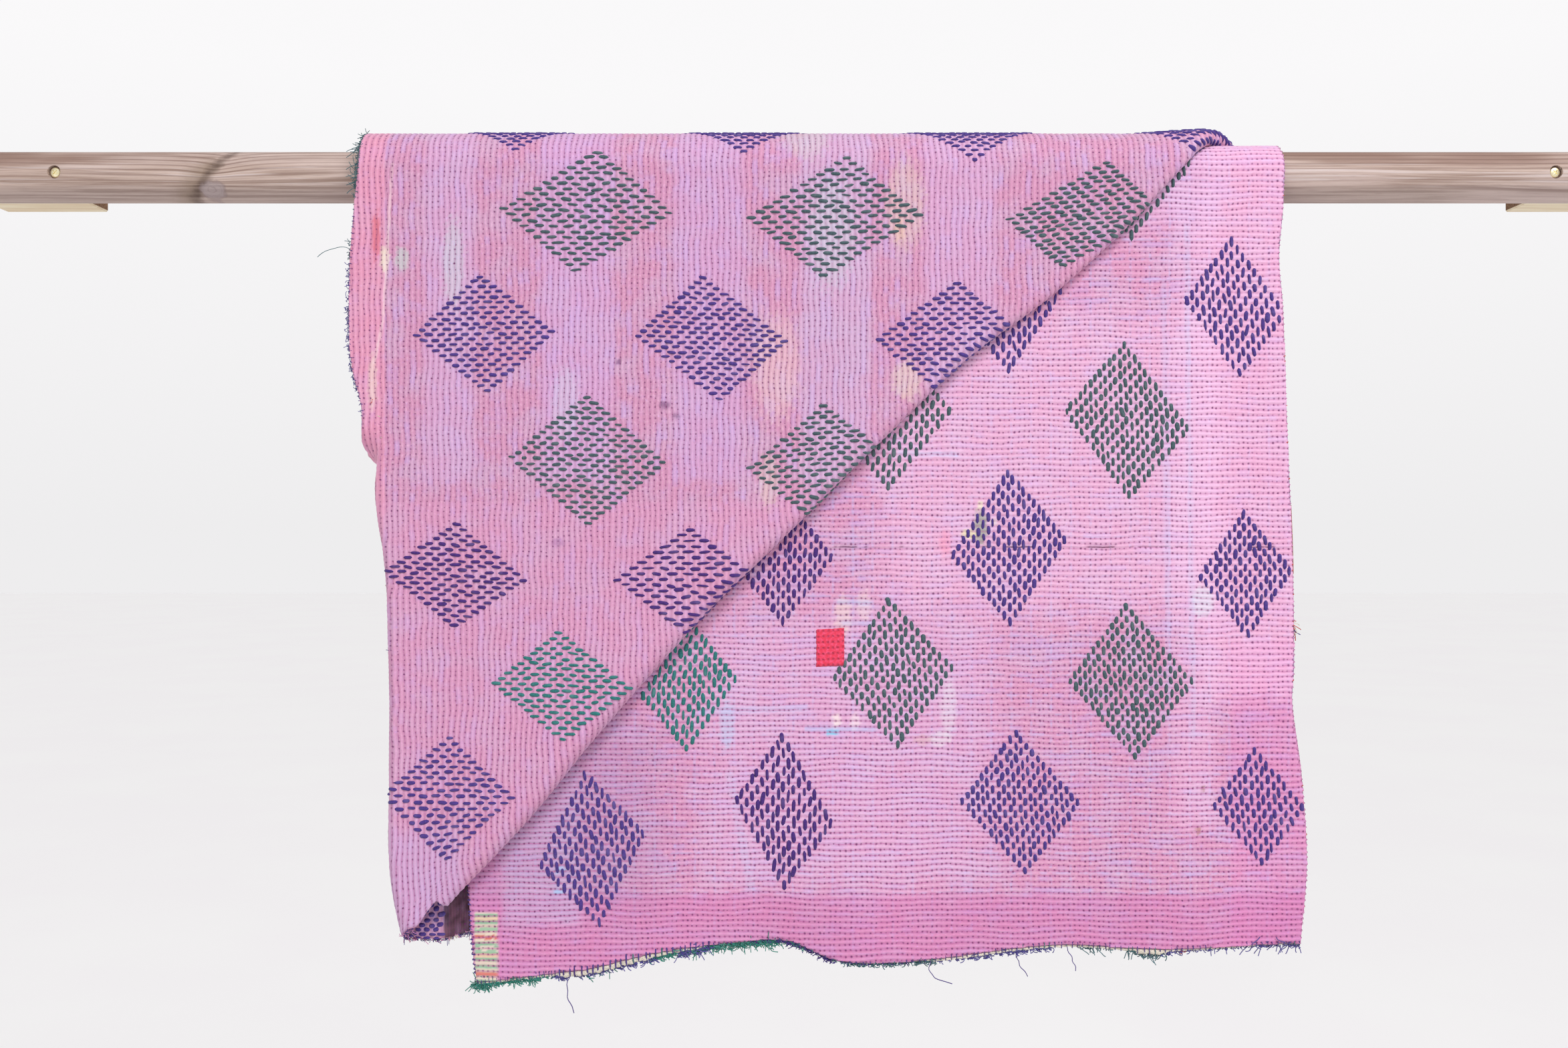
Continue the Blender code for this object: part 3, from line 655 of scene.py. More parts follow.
def flap_place(x, along):
    """Middle of the flap at a place across and along it; past the roll's start it goes round."""
    level = to_level(along, FLAP)
    lowest = np.maximum(level, OUTER_FOOT)
    start, _, _, margin, _, _ = flap_row(lowest)
    length = read(FLAP_EDGE, lowest, 2)
    across = np.clip((start - x) / (start - margin), 0, 1)
    behind = np.clip((margin - x) / length, 0, 1)
    foot = np.clip(roll_foot(x, level, start), OUTER_FOOT, HALF_TURN)
    radius, _, _ = roll_at(foot)
    round_it = (x - roll_start(foot) + foot - level) / ROOT2 / radius
    share = np.clip(1 - round_it / np.pi, 0, 1)
    past = (x > roll_start(level)) | (level < OUTER_FOOT) & (round_it > 0)
    points = np.where((behind > 0)[..., None], tail_point(behind, lowest),
                      flap_point(across, lowest))
    return np.where((past & (x > margin))[..., None], roll_point(share, foot), points)


def inner_inside(x, along):
    """Whether a place is on the inner half's cloth where it shows."""
    level = to_level(along, INNER)
    low = np.minimum(level, 0)
    hidden = x < np.minimum(read(ROLL, level, 1), ROLL_AT_RAIL) - UNDER_ROLL
    return ((x > read(INNER_EDGES, low, 1)) & (x < read(INNER_EDGES, low, 2))
            & (level > read(INNER_END, x)) & (level < HALF_TURN) & ~hidden)


def inner_clamp(x, along):
    """The nearest place on the inner half."""
    low = np.minimum(to_level(along, INNER), 0)
    along = np.clip(along, read(INNER_END, x), HALF_TURN * (INNER + CLOTH / 2) / WRAP_RADIUS)
    return np.clip(x, read(INNER_EDGES, low, 1), read(INNER_EDGES, low, 2)), along


def flap_left(level):
    """Place of the flap's left end as it lay flat, at this level."""
    margin, _ = flap_margin(level)
    return margin - read(FLAP_EDGE, level, 2)


def flap_turn(x, along):
    """How far round the roll a place is, in radians, and the level where its row leaves it."""
    level = to_level(along, FLAP)
    foot = roll_foot(x, level, roll_start(level))
    radius, _, _ = roll_at(foot)
    return (foot - level) * ROOT2 / radius, foot


def flap_inside(x, along):
    """Whether a place is on the flap or its roll."""
    level = to_level(along, FLAP)
    turned, foot = flap_turn(x, along)
    return ((x > flap_left(np.maximum(level, OUTER_FOOT))) & (turned < np.pi)
            & (np.maximum(foot, level) > OUTER_FOOT) & (level < HALF_TURN))


def flap_clamp(x, along):
    """The nearest place on the flap."""
    level = to_level(along, FLAP)
    along = np.minimum(along, HALF_TURN * (FLAP + CLOTH / 2) / WRAP_RADIUS)
    return np.maximum(x, flap_left(np.maximum(level, OUTER_FOOT))), along


def tail_turn(level):
    """A tail place's x as it lay flat and its x now add up to this: the fold mirrors them."""
    margin, turn_radius = flap_margin(level)
    return 2 * margin - np.pi * turn_radius


def tail_place(x, along):
    """Middle of the tail behind the flap, so that its face is the one that shows."""
    lowest = np.maximum(along, OUTER_FOOT)
    return flap_place(tail_turn(lowest) - x, along)


def tail_sewn(x, along):
    """Whether a place on the tail has bold stitches, short of its end painted dark as shade."""
    return tail_inside(x, along) & (x < TAIL_SEWN_TO)


def tail_inside(x, along):
    """Whether a place is on the tail, below the flap's turn."""
    margin, turn_radius = flap_margin(np.maximum(along, OUTER_FOOT))
    tip = tail_turn(along) - flap_left(along)
    return (along > OUTER_FOOT) & (x < tip) & (x > margin - turn_radius)


def tail_clamp(x, along):
    """The nearest place on the tail."""
    along = np.maximum(along, OUTER_FOOT)
    return np.minimum(x, tail_turn(along) - flap_left(along)), along


# ------------------------------------------------------------------------------ mesh helpers
def waves(x, y, size, seed):
    """Slow, uneven swell from -1 to 1 over two places, the same on every run."""
    total = 0
    for k in range(5):
        way = 2.4 * k + seed
        wave = 2 * np.pi * (1 + 0.37 * k) / size
        total = total + np.sin(wave * (x * math.cos(way) + y * math.sin(way)) + 1.7 * k * seed)
    return total / 5


def soft_box(value, low, high, soft):
    """1 between two limits and 0 outside, eased over a soft edge."""
    return smooth((value - low) / soft + 0.5) * smooth((high - value) / soft + 0.5)


def raised(place, x, along, height):
    """Points at a height over the cloth's face, from its middle, and the face's direction."""
    step = 0.3 * MM
    across = place(x + step, along) - place(x - step, along)
    upward = place(x, along + step) - place(x, along - step)
    face = np.cross(across, upward)
    length = np.linalg.norm(face, axis=-1, keepdims=True)
    face = face / np.maximum(length, 1e-12)
    return place(x, along) + face * (CLOTH / 2 + np.asarray(height))[..., None], face


def make_piece(name, points, faces, materials, maps=None, colours=None, slots=None):
    """Mesh object from points and faces, with its maps, colours and material numbers."""
    mesh = bpy.data.meshes.new(name)
    mesh.from_pydata(np.asarray(points, float).tolist(), [], np.asarray(faces).tolist())
    corners = np.zeros(len(mesh.loops), int)
    mesh.loops.foreach_get("vertex_index", corners)
    for label, values in (maps or {}).items():
        layer = mesh.uv_layers.new(name=label)
        layer.data.foreach_set("uv", np.asarray(values, np.float32)[corners].ravel())
    for label, values in (colours or {}).items():
        layer = mesh.color_attributes.new(label, "FLOAT_COLOR", "POINT")
        layer.data.foreach_set("color", np.asarray(values, np.float32).ravel())
    for material in materials:
        mesh.materials.append(material)
    if slots is not None:
        mesh.polygons.foreach_set("material_index", np.asarray(slots, np.int32))
    mesh.shade_smooth()
    mesh.update()
    made = bpy.data.objects.new(name, mesh)
    bpy.context.scene.collection.objects.link(made)
    return made


def thicken(made, thickness, offset):
    """Give a sheet its thickness, about its face for offset 0 and behind it for -1."""
    solid = made.modifiers.new("Thickness", "SOLIDIFY")
    solid.thickness = thickness
    solid.offset = offset
    return solid


def grid_faces(columns, rows, first=0):
    """Quads of a grid of columns by rows of cells, its points in rows."""
    low = first + np.arange(columns)[None, :] + (columns + 1) * np.arange(rows)[:, None]
    return np.stack([low, low + 1, low + columns + 2, low + columns + 1], -1).reshape(-1, 4)


def pucker(x, along):
    """Slow rise and fall of the stitched face, as a height."""
    return PUCKER * (0.5 + 0.5 * waves(x, along, PUCKER_SIZE, 3.3))


def tint_at(layer, x, along):
    """Colour of the cloth's worn, pieced and stained places and of its painted shade, and how
    strongly it shows.
    """
    colour = np.zeros(x.shape + (3,))
    left = np.ones(x.shape)

    def lay(mask, code):
        nonlocal colour, left
        mask = np.clip(mask, 0, 1)
        colour = colour * (1 - mask[..., None]) + np.array(linear(code)) * mask[..., None]
        left = left * (1 - mask)

    stray = waves(x, along, 0.045, 2.0)
    worn = 0.86 + 0.14 * waves(x, along, 0.021, 5.0)
    for kind, low_x, high_x, low, high, soft, code, strength in TINTS:
        if kind == layer:
            shift = 0.25 * soft * MM * stray
            lay(soft_box(x + shift, low_x * MM, high_x * MM, soft * MM)
                * soft_box(along + shift, low * MM, high * MM, soft * MM) * strength * worn, code)
    ragged = 1 + 0.35 * waves(x, along, 0.012, 1.0)
    for kind, mid_x, mid, half_x, half, code, strength in SPOTS:
        if kind == layer:
            away = np.hypot((x / MM - mid_x) / half_x, (along / MM - mid) / half) * ragged
            lay(smooth((1.15 - away) / 0.5) * strength, code)
    for kind, from_x, start, to_x, end, half, code, strength in STREAKS:
        if kind == layer:
            way = np.array([to_x - from_x, end - start]) * MM
            share = ((x - from_x * MM) * way[0] + (along - start * MM) * way[1]) / (way @ way)
            share = np.clip(share, 0, 1)
            away = np.hypot(x - from_x * MM - share * way[0], along - start * MM - share * way[1])
            lay(smooth((1.3 - away / (half * MM)) / 0.7) * strength * ragged, code)
    if layer == "inner":
        low_x, high_x, low, high = (value * MM for value in STRIPED)
        inside = (soft_box(x, low_x, high_x + 0.8 * MM * ragged, 1.5 * MM)
                  * soft_box(along, low, high, 2 * MM))
        wavy = along + 1.2 * MM * waves(x, along, 0.030, 3.0)
        stripe = np.floor(wavy / STRIPE_WIDTH).astype(int) % len(STRIPES)
        for number, code in enumerate(STRIPES):
            lay(inside * (stripe == number) * 0.92, code)
    shown = 1 - left
    colour = colour / np.maximum(shown, 1e-6)[..., None]
    return np.concatenate([colour, shown[..., None]], axis=-1)


def in_diamonds(layer, x, along):
    """1 inside the diamonds of bold stitches, 0 outside."""
    quiet = np.zeros(x.shape)
    for kind, _, mid_x, mid, row_x, row_y, over_x, over_y, _ in DIAMONDS:
        if kind != layer:
            continue
        det = row_x * over_y - row_y * over_x
        dx, dy = x / MM - mid_x, along / MM - mid
        a = np.abs(dx * over_y - dy * over_x) / abs(det)
        b = np.abs(dy * row_x - dx * row_y) / abs(det)
        quiet = np.maximum(quiet, smooth((1.04 - a - b) / 0.08))
    return quiet


# ------------------------------------------------------------------------------- the lining
def section_rows(first):
    """Section and share of each row from the given section on."""
    rows = [(section, step / count)
            for section, count in enumerate(SECTION_ROWS) if section >= first
            for step in range(count)]
    return rows + [(len(SECTION_ROWS) - 1, 1.0)]


def section_start(section):
    """Length along the folded cloth at which a section begins."""
    lengths = (-INNER_FOOT, HALF_TURN, BACK_DROP, FOLD_RUN, BACK_DROP, HALF_TURN, -OUTER_FOOT)
    return sum(lengths[:section]), lengths[section]


def make_lining(materials):
    """Closed sheet of wadding and lining in the solid's drape, with every fold."""
    u = np.linspace(0, 1, COLUMNS + 1)
    points, faces, place = [], [], []

    def grid(rows):
        columns = len(rows[0][0]) - 1
        faces.append(grid_faces(columns, len(rows) - 1, sum(len(p) for p in points)))
        points.append(np.concatenate([row for row, _ in rows]))
        place.append(np.concatenate([spot for _, spot in rows]))

    body = []
    for section, share in section_rows(0):
        start, length = section_start(section)
        spot = np.stack([CLOTH_WIDTH * u, np.full_like(u, start + length * share)], -1)
        body.append((body_point(u, section, share), spot))
    grid(body)
    around = np.linspace(0, 1, ROLL_COLUMNS + 1)
    across = np.linspace(0, 1, FLAP_COLUMNS + 1)
    behind = np.linspace(0, 1, TAIL_COLUMNS + 1)
    flap = []
    for section, share in section_rows(FOLD_SECTION):
        level = row_level(section, share)
        row = np.concatenate([roll_point(around, level), flap_point(across, level)[1:],
                              tail_point(behind, level)[1:]])
        steps = np.linalg.norm(np.diff(row, axis=0), axis=1)
        run = np.concatenate([[0], np.cumsum(steps)])
        flap.append((row, np.stack([run, np.full(len(row), level)], -1)))
    grid(flap)
    made = make_piece("quilt_lining", np.concatenate(points), np.concatenate(faces), materials,
                      {"place": np.concatenate(place)})
    weld = made.modifiers.new("Weld", "WELD")
    weld.merge_threshold = WELD
    thicken(made, CLOTH, 0).use_even_offset = True
    return made


# ----------------------------------------------------------------------------- stitched top
def relief(rows, stitches, quiet, high):
    """Height of the quilted surface over its lowest points: ridges between the stitches."""
    ridge = np.abs(np.sin(np.pi * stitches)) ** 1.1
    row = 0.5 - 0.5 * np.cos(2 * np.pi * rows)
    dip = (1 - ridge) * (1 - row)
    loud = 1 - 0.55 * quiet
    return high * ridge * loud + ROW_DIP * row + STITCH_DIP * (1 - dip * loud)


def make_top(name, layer, place, inside, clamp, box, upright, sizes, materials):
    """Stitched top cloth: a mesh whose cells follow the stitches, clipped at the cloth's edges.

    upright says that the rows of stitches run along the cloth and not across it.
    """
    low_x, high_x, low, high = box
    steps = (sizes.row_pitch / PER_ROW, STITCH_PITCH[layer] / PER_STITCH)
    step_x, step_y = steps if upright else steps[::-1]
    i = np.arange(math.floor(low_x / step_x), math.ceil(high_x / step_x) + 1)
    j = np.arange(math.floor(low / step_y), math.ceil(high / step_y) + 1)
    i, j = np.meshgrid(i, j)
    true = (i * step_x, j * step_y)
    x, along = (at + WANDER * waves(*true, slow, seed) + 0.3 * WANDER * waves(*true, fine, other)
                for at, slow, seed, fine, other in ((true[0], 0.110, 1.3, 0.024, 2.2),
                                                    (true[1], 0.130, 4.1, 0.026, 5.2)))
    within = inside(x, along)
    cells = within[:-1, :-1] | within[:-1, 1:] | within[1:, :-1] | within[1:, 1:]
    faces = grid_faces(i.shape[1] - 1, i.shape[0] - 1)[cells.ravel()]
    used, faces = np.unique(faces, return_inverse=True)
    faces = faces.reshape(-1, 4)
    x, along, i, j = x.ravel()[used], along.ravel()[used], i.ravel()[used], j.ravel()[used]
    within = within.ravel()[used]
    x, along = clamp(x, along)
    rows, stitches = (i / PER_ROW, j / PER_STITCH) if upright else (j / PER_ROW, i / PER_STITCH)
    quiet = in_diamonds(layer, x, along)
    height = TOP_LIFT + relief(rows, stitches, quiet, sizes.ridge * RIDGE_SHARE[layer])
    height = np.where(within, height + pucker(x, along), -HEM_TURN)
    points, _ = raised(place, x, along, height)
    maps = {"stitches": np.stack([rows, stitches], -1), "place": np.stack([x, along], -1)}
    marks = quiet[:, None] * [1, 0, 0, 0] + [0, 0, 0, 1]
    return make_piece(name, points, faces, materials, maps,
                      {"tint": tint_at(layer, x, along), "marks": marks})


# --------------------------------------------------------------------------- bold stitches
def stitch_form(stations, sides):
    """Template of a bold stitch, one long and one wide: an arch of thread with sunken ends."""
    along = np.linspace(-0.5, 0.5, stations)
    fill = np.sqrt(np.clip(1 - (np.abs(along) * 2) ** 4, 0, 1))
    turn = np.linspace(0, np.pi, sides + 1)
    points = [[a, math.cos(t) / 2 * (0.45 + 0.55 * f),
               math.sin(t) * DASH_HEIGHT * (0.25 + 0.75 * f) - DASH_SINK * (2 - 1.6 * f)]
              for a, f in zip(along, fill) for t in turn]
    return np.array(points), grid_faces(sides, stations - 1)


def dashes_of(diamond, seed):
    """Middle, direction and size of each bold stitch in a diamond."""
    _, _, mid_x, mid, row_x, row_y, over_x, over_y, rows = diamond
    draw = np.random.default_rng(seed)
    middle = np.array([mid_x, mid], float) * MM
    row_way = np.array([row_x, row_y], float) * MM
    over_way = np.array([over_x, over_y], float) * MM
    pitch = 2 * row_way / (rows + DASH_SHARE)
    found = []
    for row in range(-rows, rows + 1):
        count = rows + 1 - abs(row)
        for k in range(count):
            spot = middle + over_way * row / rows + pitch * (k - (count - 1) / 2)
            spot = spot + draw.normal(0, 0.45 * MM, 2)
            turn = draw.normal(0, 0.09)
            size = np.linalg.norm(pitch) * DASH_SHARE * draw.normal(1, 0.11)
            way = row_way / np.linalg.norm(row_way)
            way = np.array([way[0] - turn * way[1], way[1] + turn * way[0]])
            found.append((spot, way, size, draw.normal(1, 0.13)))
    return found


def make_stitches(name, layer, place, inside, side, sizes, materials, slots, stations=6,
                  sides=4):
    """All the bold stitches of a layer on one mesh; side is 1 on the face, -1 on the back.

    Each has as many rings of points as stations, and as many cells round it as sides.
    """
    form, form_faces = stitch_form(stations, sides)
    points, faces, slot_of = [], [], []
    total = 0
    for number, diamond in enumerate(DIAMONDS):
        if diamond[0] != layer:
            continue
        for spot, way, size, fat in dashes_of(diamond, number):
            if not inside(spot[:1], spot[1:])[0]:
                continue
            along = form[:, 0] * size
            across = form[:, 1] * sizes.stitch_width * fat * DASH_FULLNESS[layer]
            x = spot[0] + way[0] * along - way[1] * across
            y = spot[1] + way[1] * along + way[0] * across
            points.append(np.stack([x, y, form[:, 2]], -1))
            faces.append(form_faces + total)
            slot_of.append(np.full(len(form_faces), slots[diamond[1]]))
            total += len(form)
    flat = np.concatenate(points)
    lift = (TOP_LIFT + STITCH_DIP + sizes.ridge * RIDGE_SHARE[layer] * 0.6
            + pucker(flat[:, 0], flat[:, 1]))
    height = lift + flat[:, 2]
    made_points, face = raised(place, flat[:, 0], flat[:, 1], height)
    if side < 0:
        made_points = made_points - face * (CLOTH + 2 * height)[:, None]
    return make_piece(name, made_points, np.concatenate(faces), materials,
                      {"place": flat[:, :2]}, None, np.concatenate(slot_of))


# ------------------------------------------------------------------- ends, edges and threads
def tubes(paths, radius, sides=3):
    """Points and quads of thin tubes along many paths of as many points each."""
    count, steps, _ = paths.shape
    tangent = np.gradient(paths, axis=1)
    tangent /= np.maximum(np.linalg.norm(tangent, axis=-1, keepdims=True), 1e-12)
    upright = np.where(np.abs(tangent[..., 1:2]) > 0.9, [1.0, 0.0, 0.0], [0.0, 1.0, 0.0])
    side = np.cross(tangent, upright)
    side /= np.maximum(np.linalg.norm(side, axis=-1, keepdims=True), 1e-12)
    other = np.cross(tangent, side)
    turn = 2 * np.pi * np.arange(sides) / sides
    radius = np.broadcast_to(radius, (count, steps))[..., None, None]
    ring = (side[:, :, None] * np.cos(turn)[:, None] + other[:, :, None] * np.sin(turn)[:, None])
    points = (paths[:, :, None] + ring * radius).reshape(-1, 3)
    k = np.arange(sides)
    quad = np.stack([k, (k + 1) % sides, (k + 1) % sides + sides, k + sides], -1)
    cells = quad[None, :] + sides * np.arange(steps - 1)[:, None, None]
    whole = cells.reshape(1, -1, 4) + sides * steps * np.arange(count)[:, None, None]
    return points, whole.reshape(-1, 4), sides * (steps - 1)


def make_tubes(name, paths, radius, materials, slots, sides=3):
    """One mesh of many thin threads, each with its own material number."""
    points, faces, each = tubes(paths, radius, sides)
    return make_piece(name, points, faces, materials, None, None, np.repeat(slots, each))


def edge_of(place, x, along, out, inset=0.0):
    """Middle, face and outward way of an edge; its face is the one a little inset from it."""
    _, face = raised(place, x + inset, along, 0.0)
    return place(x, along), face, np.broadcast_to(out, face.shape)


def inner_bottom(x):
    """The inner half's bottom end."""
    return edge_of(inner_place, x, read(INNER_END, x), DOWN)


def below_roll(x):
    """The same edge, at the underside of its cream roll."""
    middle, face, out = inner_bottom(x)
    return middle + out * np.maximum(2 * read(EDGE_ROLL, x) - 1.4 * MM, 0)[:, None], face, out


def inner_right(along):
    """The inner half's right edge."""
    x = read(INNER_EDGES, np.minimum(along, 0), 2)
    return edge_of(inner_place, x, along, RIGHT, -1 * MM)


def inner_left(along):
    """The inner half's left edge."""
    x = read(INNER_EDGES, np.minimum(along, 0), 1)
    return edge_of(inner_place, x, along, LEFT, 1 * MM)


def flap_end(along):
    """The flap's left end, above where it turns in."""
    return edge_of(flap_place, flap_left(to_level(along, FLAP)), along, LEFT, 2 * MM)


def flap_fold(level, inset):
    """The fold of the flap's margin, where it turns behind."""
    margin, turn_radius = flap_margin(level)
    fold = flap_place(margin - turn_radius * 1.2, level)
    return (fold + np.array([inset, 0, 0]), np.broadcast_to(ROOMWARD, fold.shape),
            np.broadcast_to(LEFT, fold.shape))


def flap_foot(share):
    """The flap's lowest edge, from the tuck to its tip."""
    points = tail_point(share, np.full_like(share, OUTER_FOOT))
    return points, np.broadcast_to(ROOMWARD, points.shape), np.broadcast_to(DOWN, points.shape)


def whip(edge, reach, thick, lean, draw, bulge=1.3 * MM):
    """Paths of whipping stitches over an edge, from its face round to its back.

    reach is how far in from the edge they start, thick how far out they stand and bulge how
    far they stand off the face; lean slants them along the edge.
    """
    middle, face, out = edge
    half = CLOTH / 2 + TOP_LIFT
    front = half + bulge
    turns = ((half + 0.2 * MM, -reach), (half + 1.5 * MM, -0.6 * reach), (front, 0.25 * thick),
             (0.6 * front, 0.85 * thick), (0, thick), (-half - 0.2 * MM, 0),
             (-half - 0.6 * MM, -0.6 * reach))
    step = np.gradient(middle, axis=0)
    step /= np.maximum(np.linalg.norm(step, axis=-1, keepdims=True), 1e-12)
    size = draw.normal(1, 0.16, (len(middle), 1))
    drift = draw.normal(0, 0.7 * MM, (len(middle), 1))
    slant = draw.normal(lean, 0.9 * MM, (len(middle), 1))
    return np.stack([middle + face * out_by + out * (in_by * size)
                     + step * (slant * k / len(turns) + drift)
                     for k, (out_by, in_by) in enumerate(turns)], axis=1)


def loose(edge, lengths, draw, fall, spread, steps=8, curl=0.33):
    """Paths of loose threads from an edge: they set out along its way and hang in curls.

    fall is how strongly they turn down, spread how unlike each other they set out.
    """
    middle, face, out = edge
    count = len(middle)
    start = middle + face * draw.uniform(-1.5, 2.6, (count, 1)) * MM - out * 1.5 * MM
    way = out + draw.normal(0, spread, (count, 3)) + face * draw.uniform(0, 0.25, (count, 1))
    bend = draw.normal(0, curl, (count, 3))
    bend[:, 1] *= 0.4
    paths = [start]
    for step in range(1, steps):
        way = way + bend + draw.normal(0, 0.16, (count, 3)) + np.array([0, 0, -fall])
        way[:, 1] = np.clip(way[:, 1], -0.35, 0.10)
        way = way / np.linalg.norm(way, axis=-1, keepdims=True)
        paths.append(paths[-1] + way * (lengths / (steps - 1))[:, None])
    return np.stack(paths, axis=1)


def curls(edge, size, draw, turns=1.6, steps=14):
    """Paths of matted threads that curl close to an edge."""
    middle, face, out = edge
    count = len(middle)
    side = np.cross(face, out)
    t = np.linspace(0, 1, steps)[None, :, None]
    size = np.broadcast_to(size, (count,))[:, None, None]
    turn = (2 * np.pi * draw.uniform(0.5, turns, (count, 1, 1)) * t
            + draw.uniform(0, 2 * np.pi, (count, 1, 1)))
    spin = np.where(draw.random((count, 1, 1)) < 0.5, 1, -1)
    drift = draw.normal(0, 1.3, (count, 1, 1)) * size * t
    away = draw.uniform(0.2, 1.6, (count, 1, 1)) * size * t
    depth = face[:, None] * (draw.uniform(-1.5, 2.2, (count, 1, 1)) * MM
                             + 0.5 * MM * np.sin(turn * 0.7))
    begin = (middle + out * 0.6 * MM)[:, None]
    return (begin + depth + side[:, None] * (size * 0.8 * (np.cos(turn) - np.cos(turn[:, :1]))
                                             + drift)
            + out[:, None] * (size * 0.7 * np.sin(turn * spin) * t + size * 0.5 * t + away))


def gather(*groups):
    """One list of paths, and the material number of each, from groups of both."""
    steps = max(paths.shape[1] for paths, _ in groups)
    same = []
    for paths, _ in groups:
        at = np.linspace(0, paths.shape[1] - 1, steps)
        low = np.minimum(at.astype(int), paths.shape[1] - 2)
        share = (at - low)[None, :, None]
        same.append(paths[:, low] * (1 - share) + paths[:, low + 1] * share)
    return (np.concatenate(same),
            np.concatenate([np.broadcast_to(slots, len(paths)) for paths, slots in groups]))


def long_threads(root, by, bow, turns, way):
    """Paths of single long threads, from root to end, each with a bow and a small wave."""
    t = np.linspace(0, 1, 14)[None, :, None]
    return (root[:, None] + t * by[:, None] + np.sin(np.pi * t) * bow[:, None]
            + 0.8 * MM * np.sin(turns * t) * np.array(way, float))


def pick(draw, slots, names, count, shares=None):
    """Material numbers drawn from some colours, in equal or given shares."""
    return draw.choice([slots[name] for name in names], count, p=shares)


def make_whipping(draw, materials, slots):
    """Whipping stitches round the inner half's bottom, right and left edges."""
    groups, thickness = [], []
    for low, high, pitch, radius, reach in WHIPPED:
        x = np.arange(low, high, pitch) * MM
        roll = read(EDGE_ROLL, x)[:, None]
        bulge = np.maximum(roll + 1.7 * MM - CLOTH / 2 - TOP_LIFT, 0.9 * MM)
        bars = whip(inner_bottom(x), reach * MM, 2 * roll + 0.6 * MM, 1.0 * MM, draw, bulge)
        groups.append((bars, pick(draw, slots, ("purple", "plum", "petrol"), len(x),
                                  (0.65, 0.2, 0.15))))
        thickness.append(np.full(len(x), radius * MM))
    right, left = np.arange(*RIGHT_WHIPPED), np.arange(*LEFT_WHIPPED)
    groups.append((whip(inner_right(right), 2.0 * MM, 0.4 * MM, 2.6 * MM, draw, 0.9 * MM),
                   pick(draw, slots, ("ember", "pink"), len(right), (0.12, 0.88))))
    groups.append((whip(inner_left(left), 3.4 * MM, 0.6 * MM, 1.5 * MM, draw),
                   slots["purple"]))
    thickness += [np.full(len(right), 0.45 * MM), np.full(len(left), 0.70 * MM)]
    paths, numbers = gather(*groups)
    return make_tubes("whipping_inner", paths, np.concatenate(thickness)[:, None], materials,
                      numbers, 4)


def make_edge_roll(materials, slots):
    """The inner half's bottom end, rolled in cream cotton with a few orange-red yarns in it."""
    x = np.linspace(*EDGE_ROLL_RUN)
    middle, face, out = inner_bottom(x)
    thick = read(EDGE_ROLL, x) * (1 + 0.12 * np.sin(x * 900) + 0.10 * np.sin(x * 371))
    paths = np.stack([middle + out * thick[:, None] + face * side * MM for side in (1.2, -1.2)])
    points, faces, _ = tubes(paths, thick[None], EDGE_ROLL_SIDES)
    red = np.repeat(waves(x[:-1], x[:-1] * 0, 0.05, 2.0) > 0.62, EDGE_ROLL_SIDES)
    numbers = np.tile(np.where(red, slots["ember"], slots["cream"]), len(paths))
    return make_piece("edge_roll_inner", points, faces, materials, None, None, numbers)


def make_inner_ends(sizes, materials, slots):
    """Whipping round the inner half's edges, its cream edge roll and the threads below it."""
    draw = np.random.default_rng(12)
    whipping = make_whipping(draw, materials, slots)
    edge_roll = make_edge_roll(materials, slots)

    groups = []
    for low, high, name, curling, wide, hanging, far in CLUMPS:
        edge = below_roll(draw.uniform(low, high, curling) * MM)
        size = wide * (0.4 + 0.9 * draw.random(curling)) * MM
        groups.append((curls(edge, size, draw, steps=12), slots[name]))
        edge = below_roll(draw.uniform(low, high, hanging) * MM)
        length = far * (0.35 + 0.75 * draw.random(hanging)) * MM
        groups.append((loose(edge, length, draw, 0.22, 0.40, 12, 0.5), slots[name]))
    x, aside, up, bow, rise = np.array([row for _, *row in LONG_THREADS]).T
    root, _, _ = inner_bottom(x)
    by, bend = np.stack([aside, 0 * x, up], -1), np.stack([bow, 0 * x, rise], -1)
    groups.append((long_threads(root + 2 * MM * ROOMWARD, by, bend, 17, RIGHT),
                   [slots[name] for name, *_ in LONG_THREADS]))
    # thin rust piping down the right edge, and a worn place in that edge
    piping, face, out = inner_right(np.linspace(*PIPING))
    groups.append(((piping + out * 0.5 * MM + face * 1.2 * MM)[None], slots["rust"]))
    worn = inner_right(draw.uniform(*WORN_EDGE, 26))
    groups.append((loose(worn, (2 + 9 * draw.random(26) ** 2) * MM, draw, 0.12, 0.45),
                   pick(draw, slots, ("ember", "cream", "purple"), 26, (0.5, 0.35, 0.15))))
    paths, numbers = gather(*groups)
    made = make_tubes("fray_inner", paths, sizes.thread / 2, materials, numbers)
    return whipping, edge_roll, made


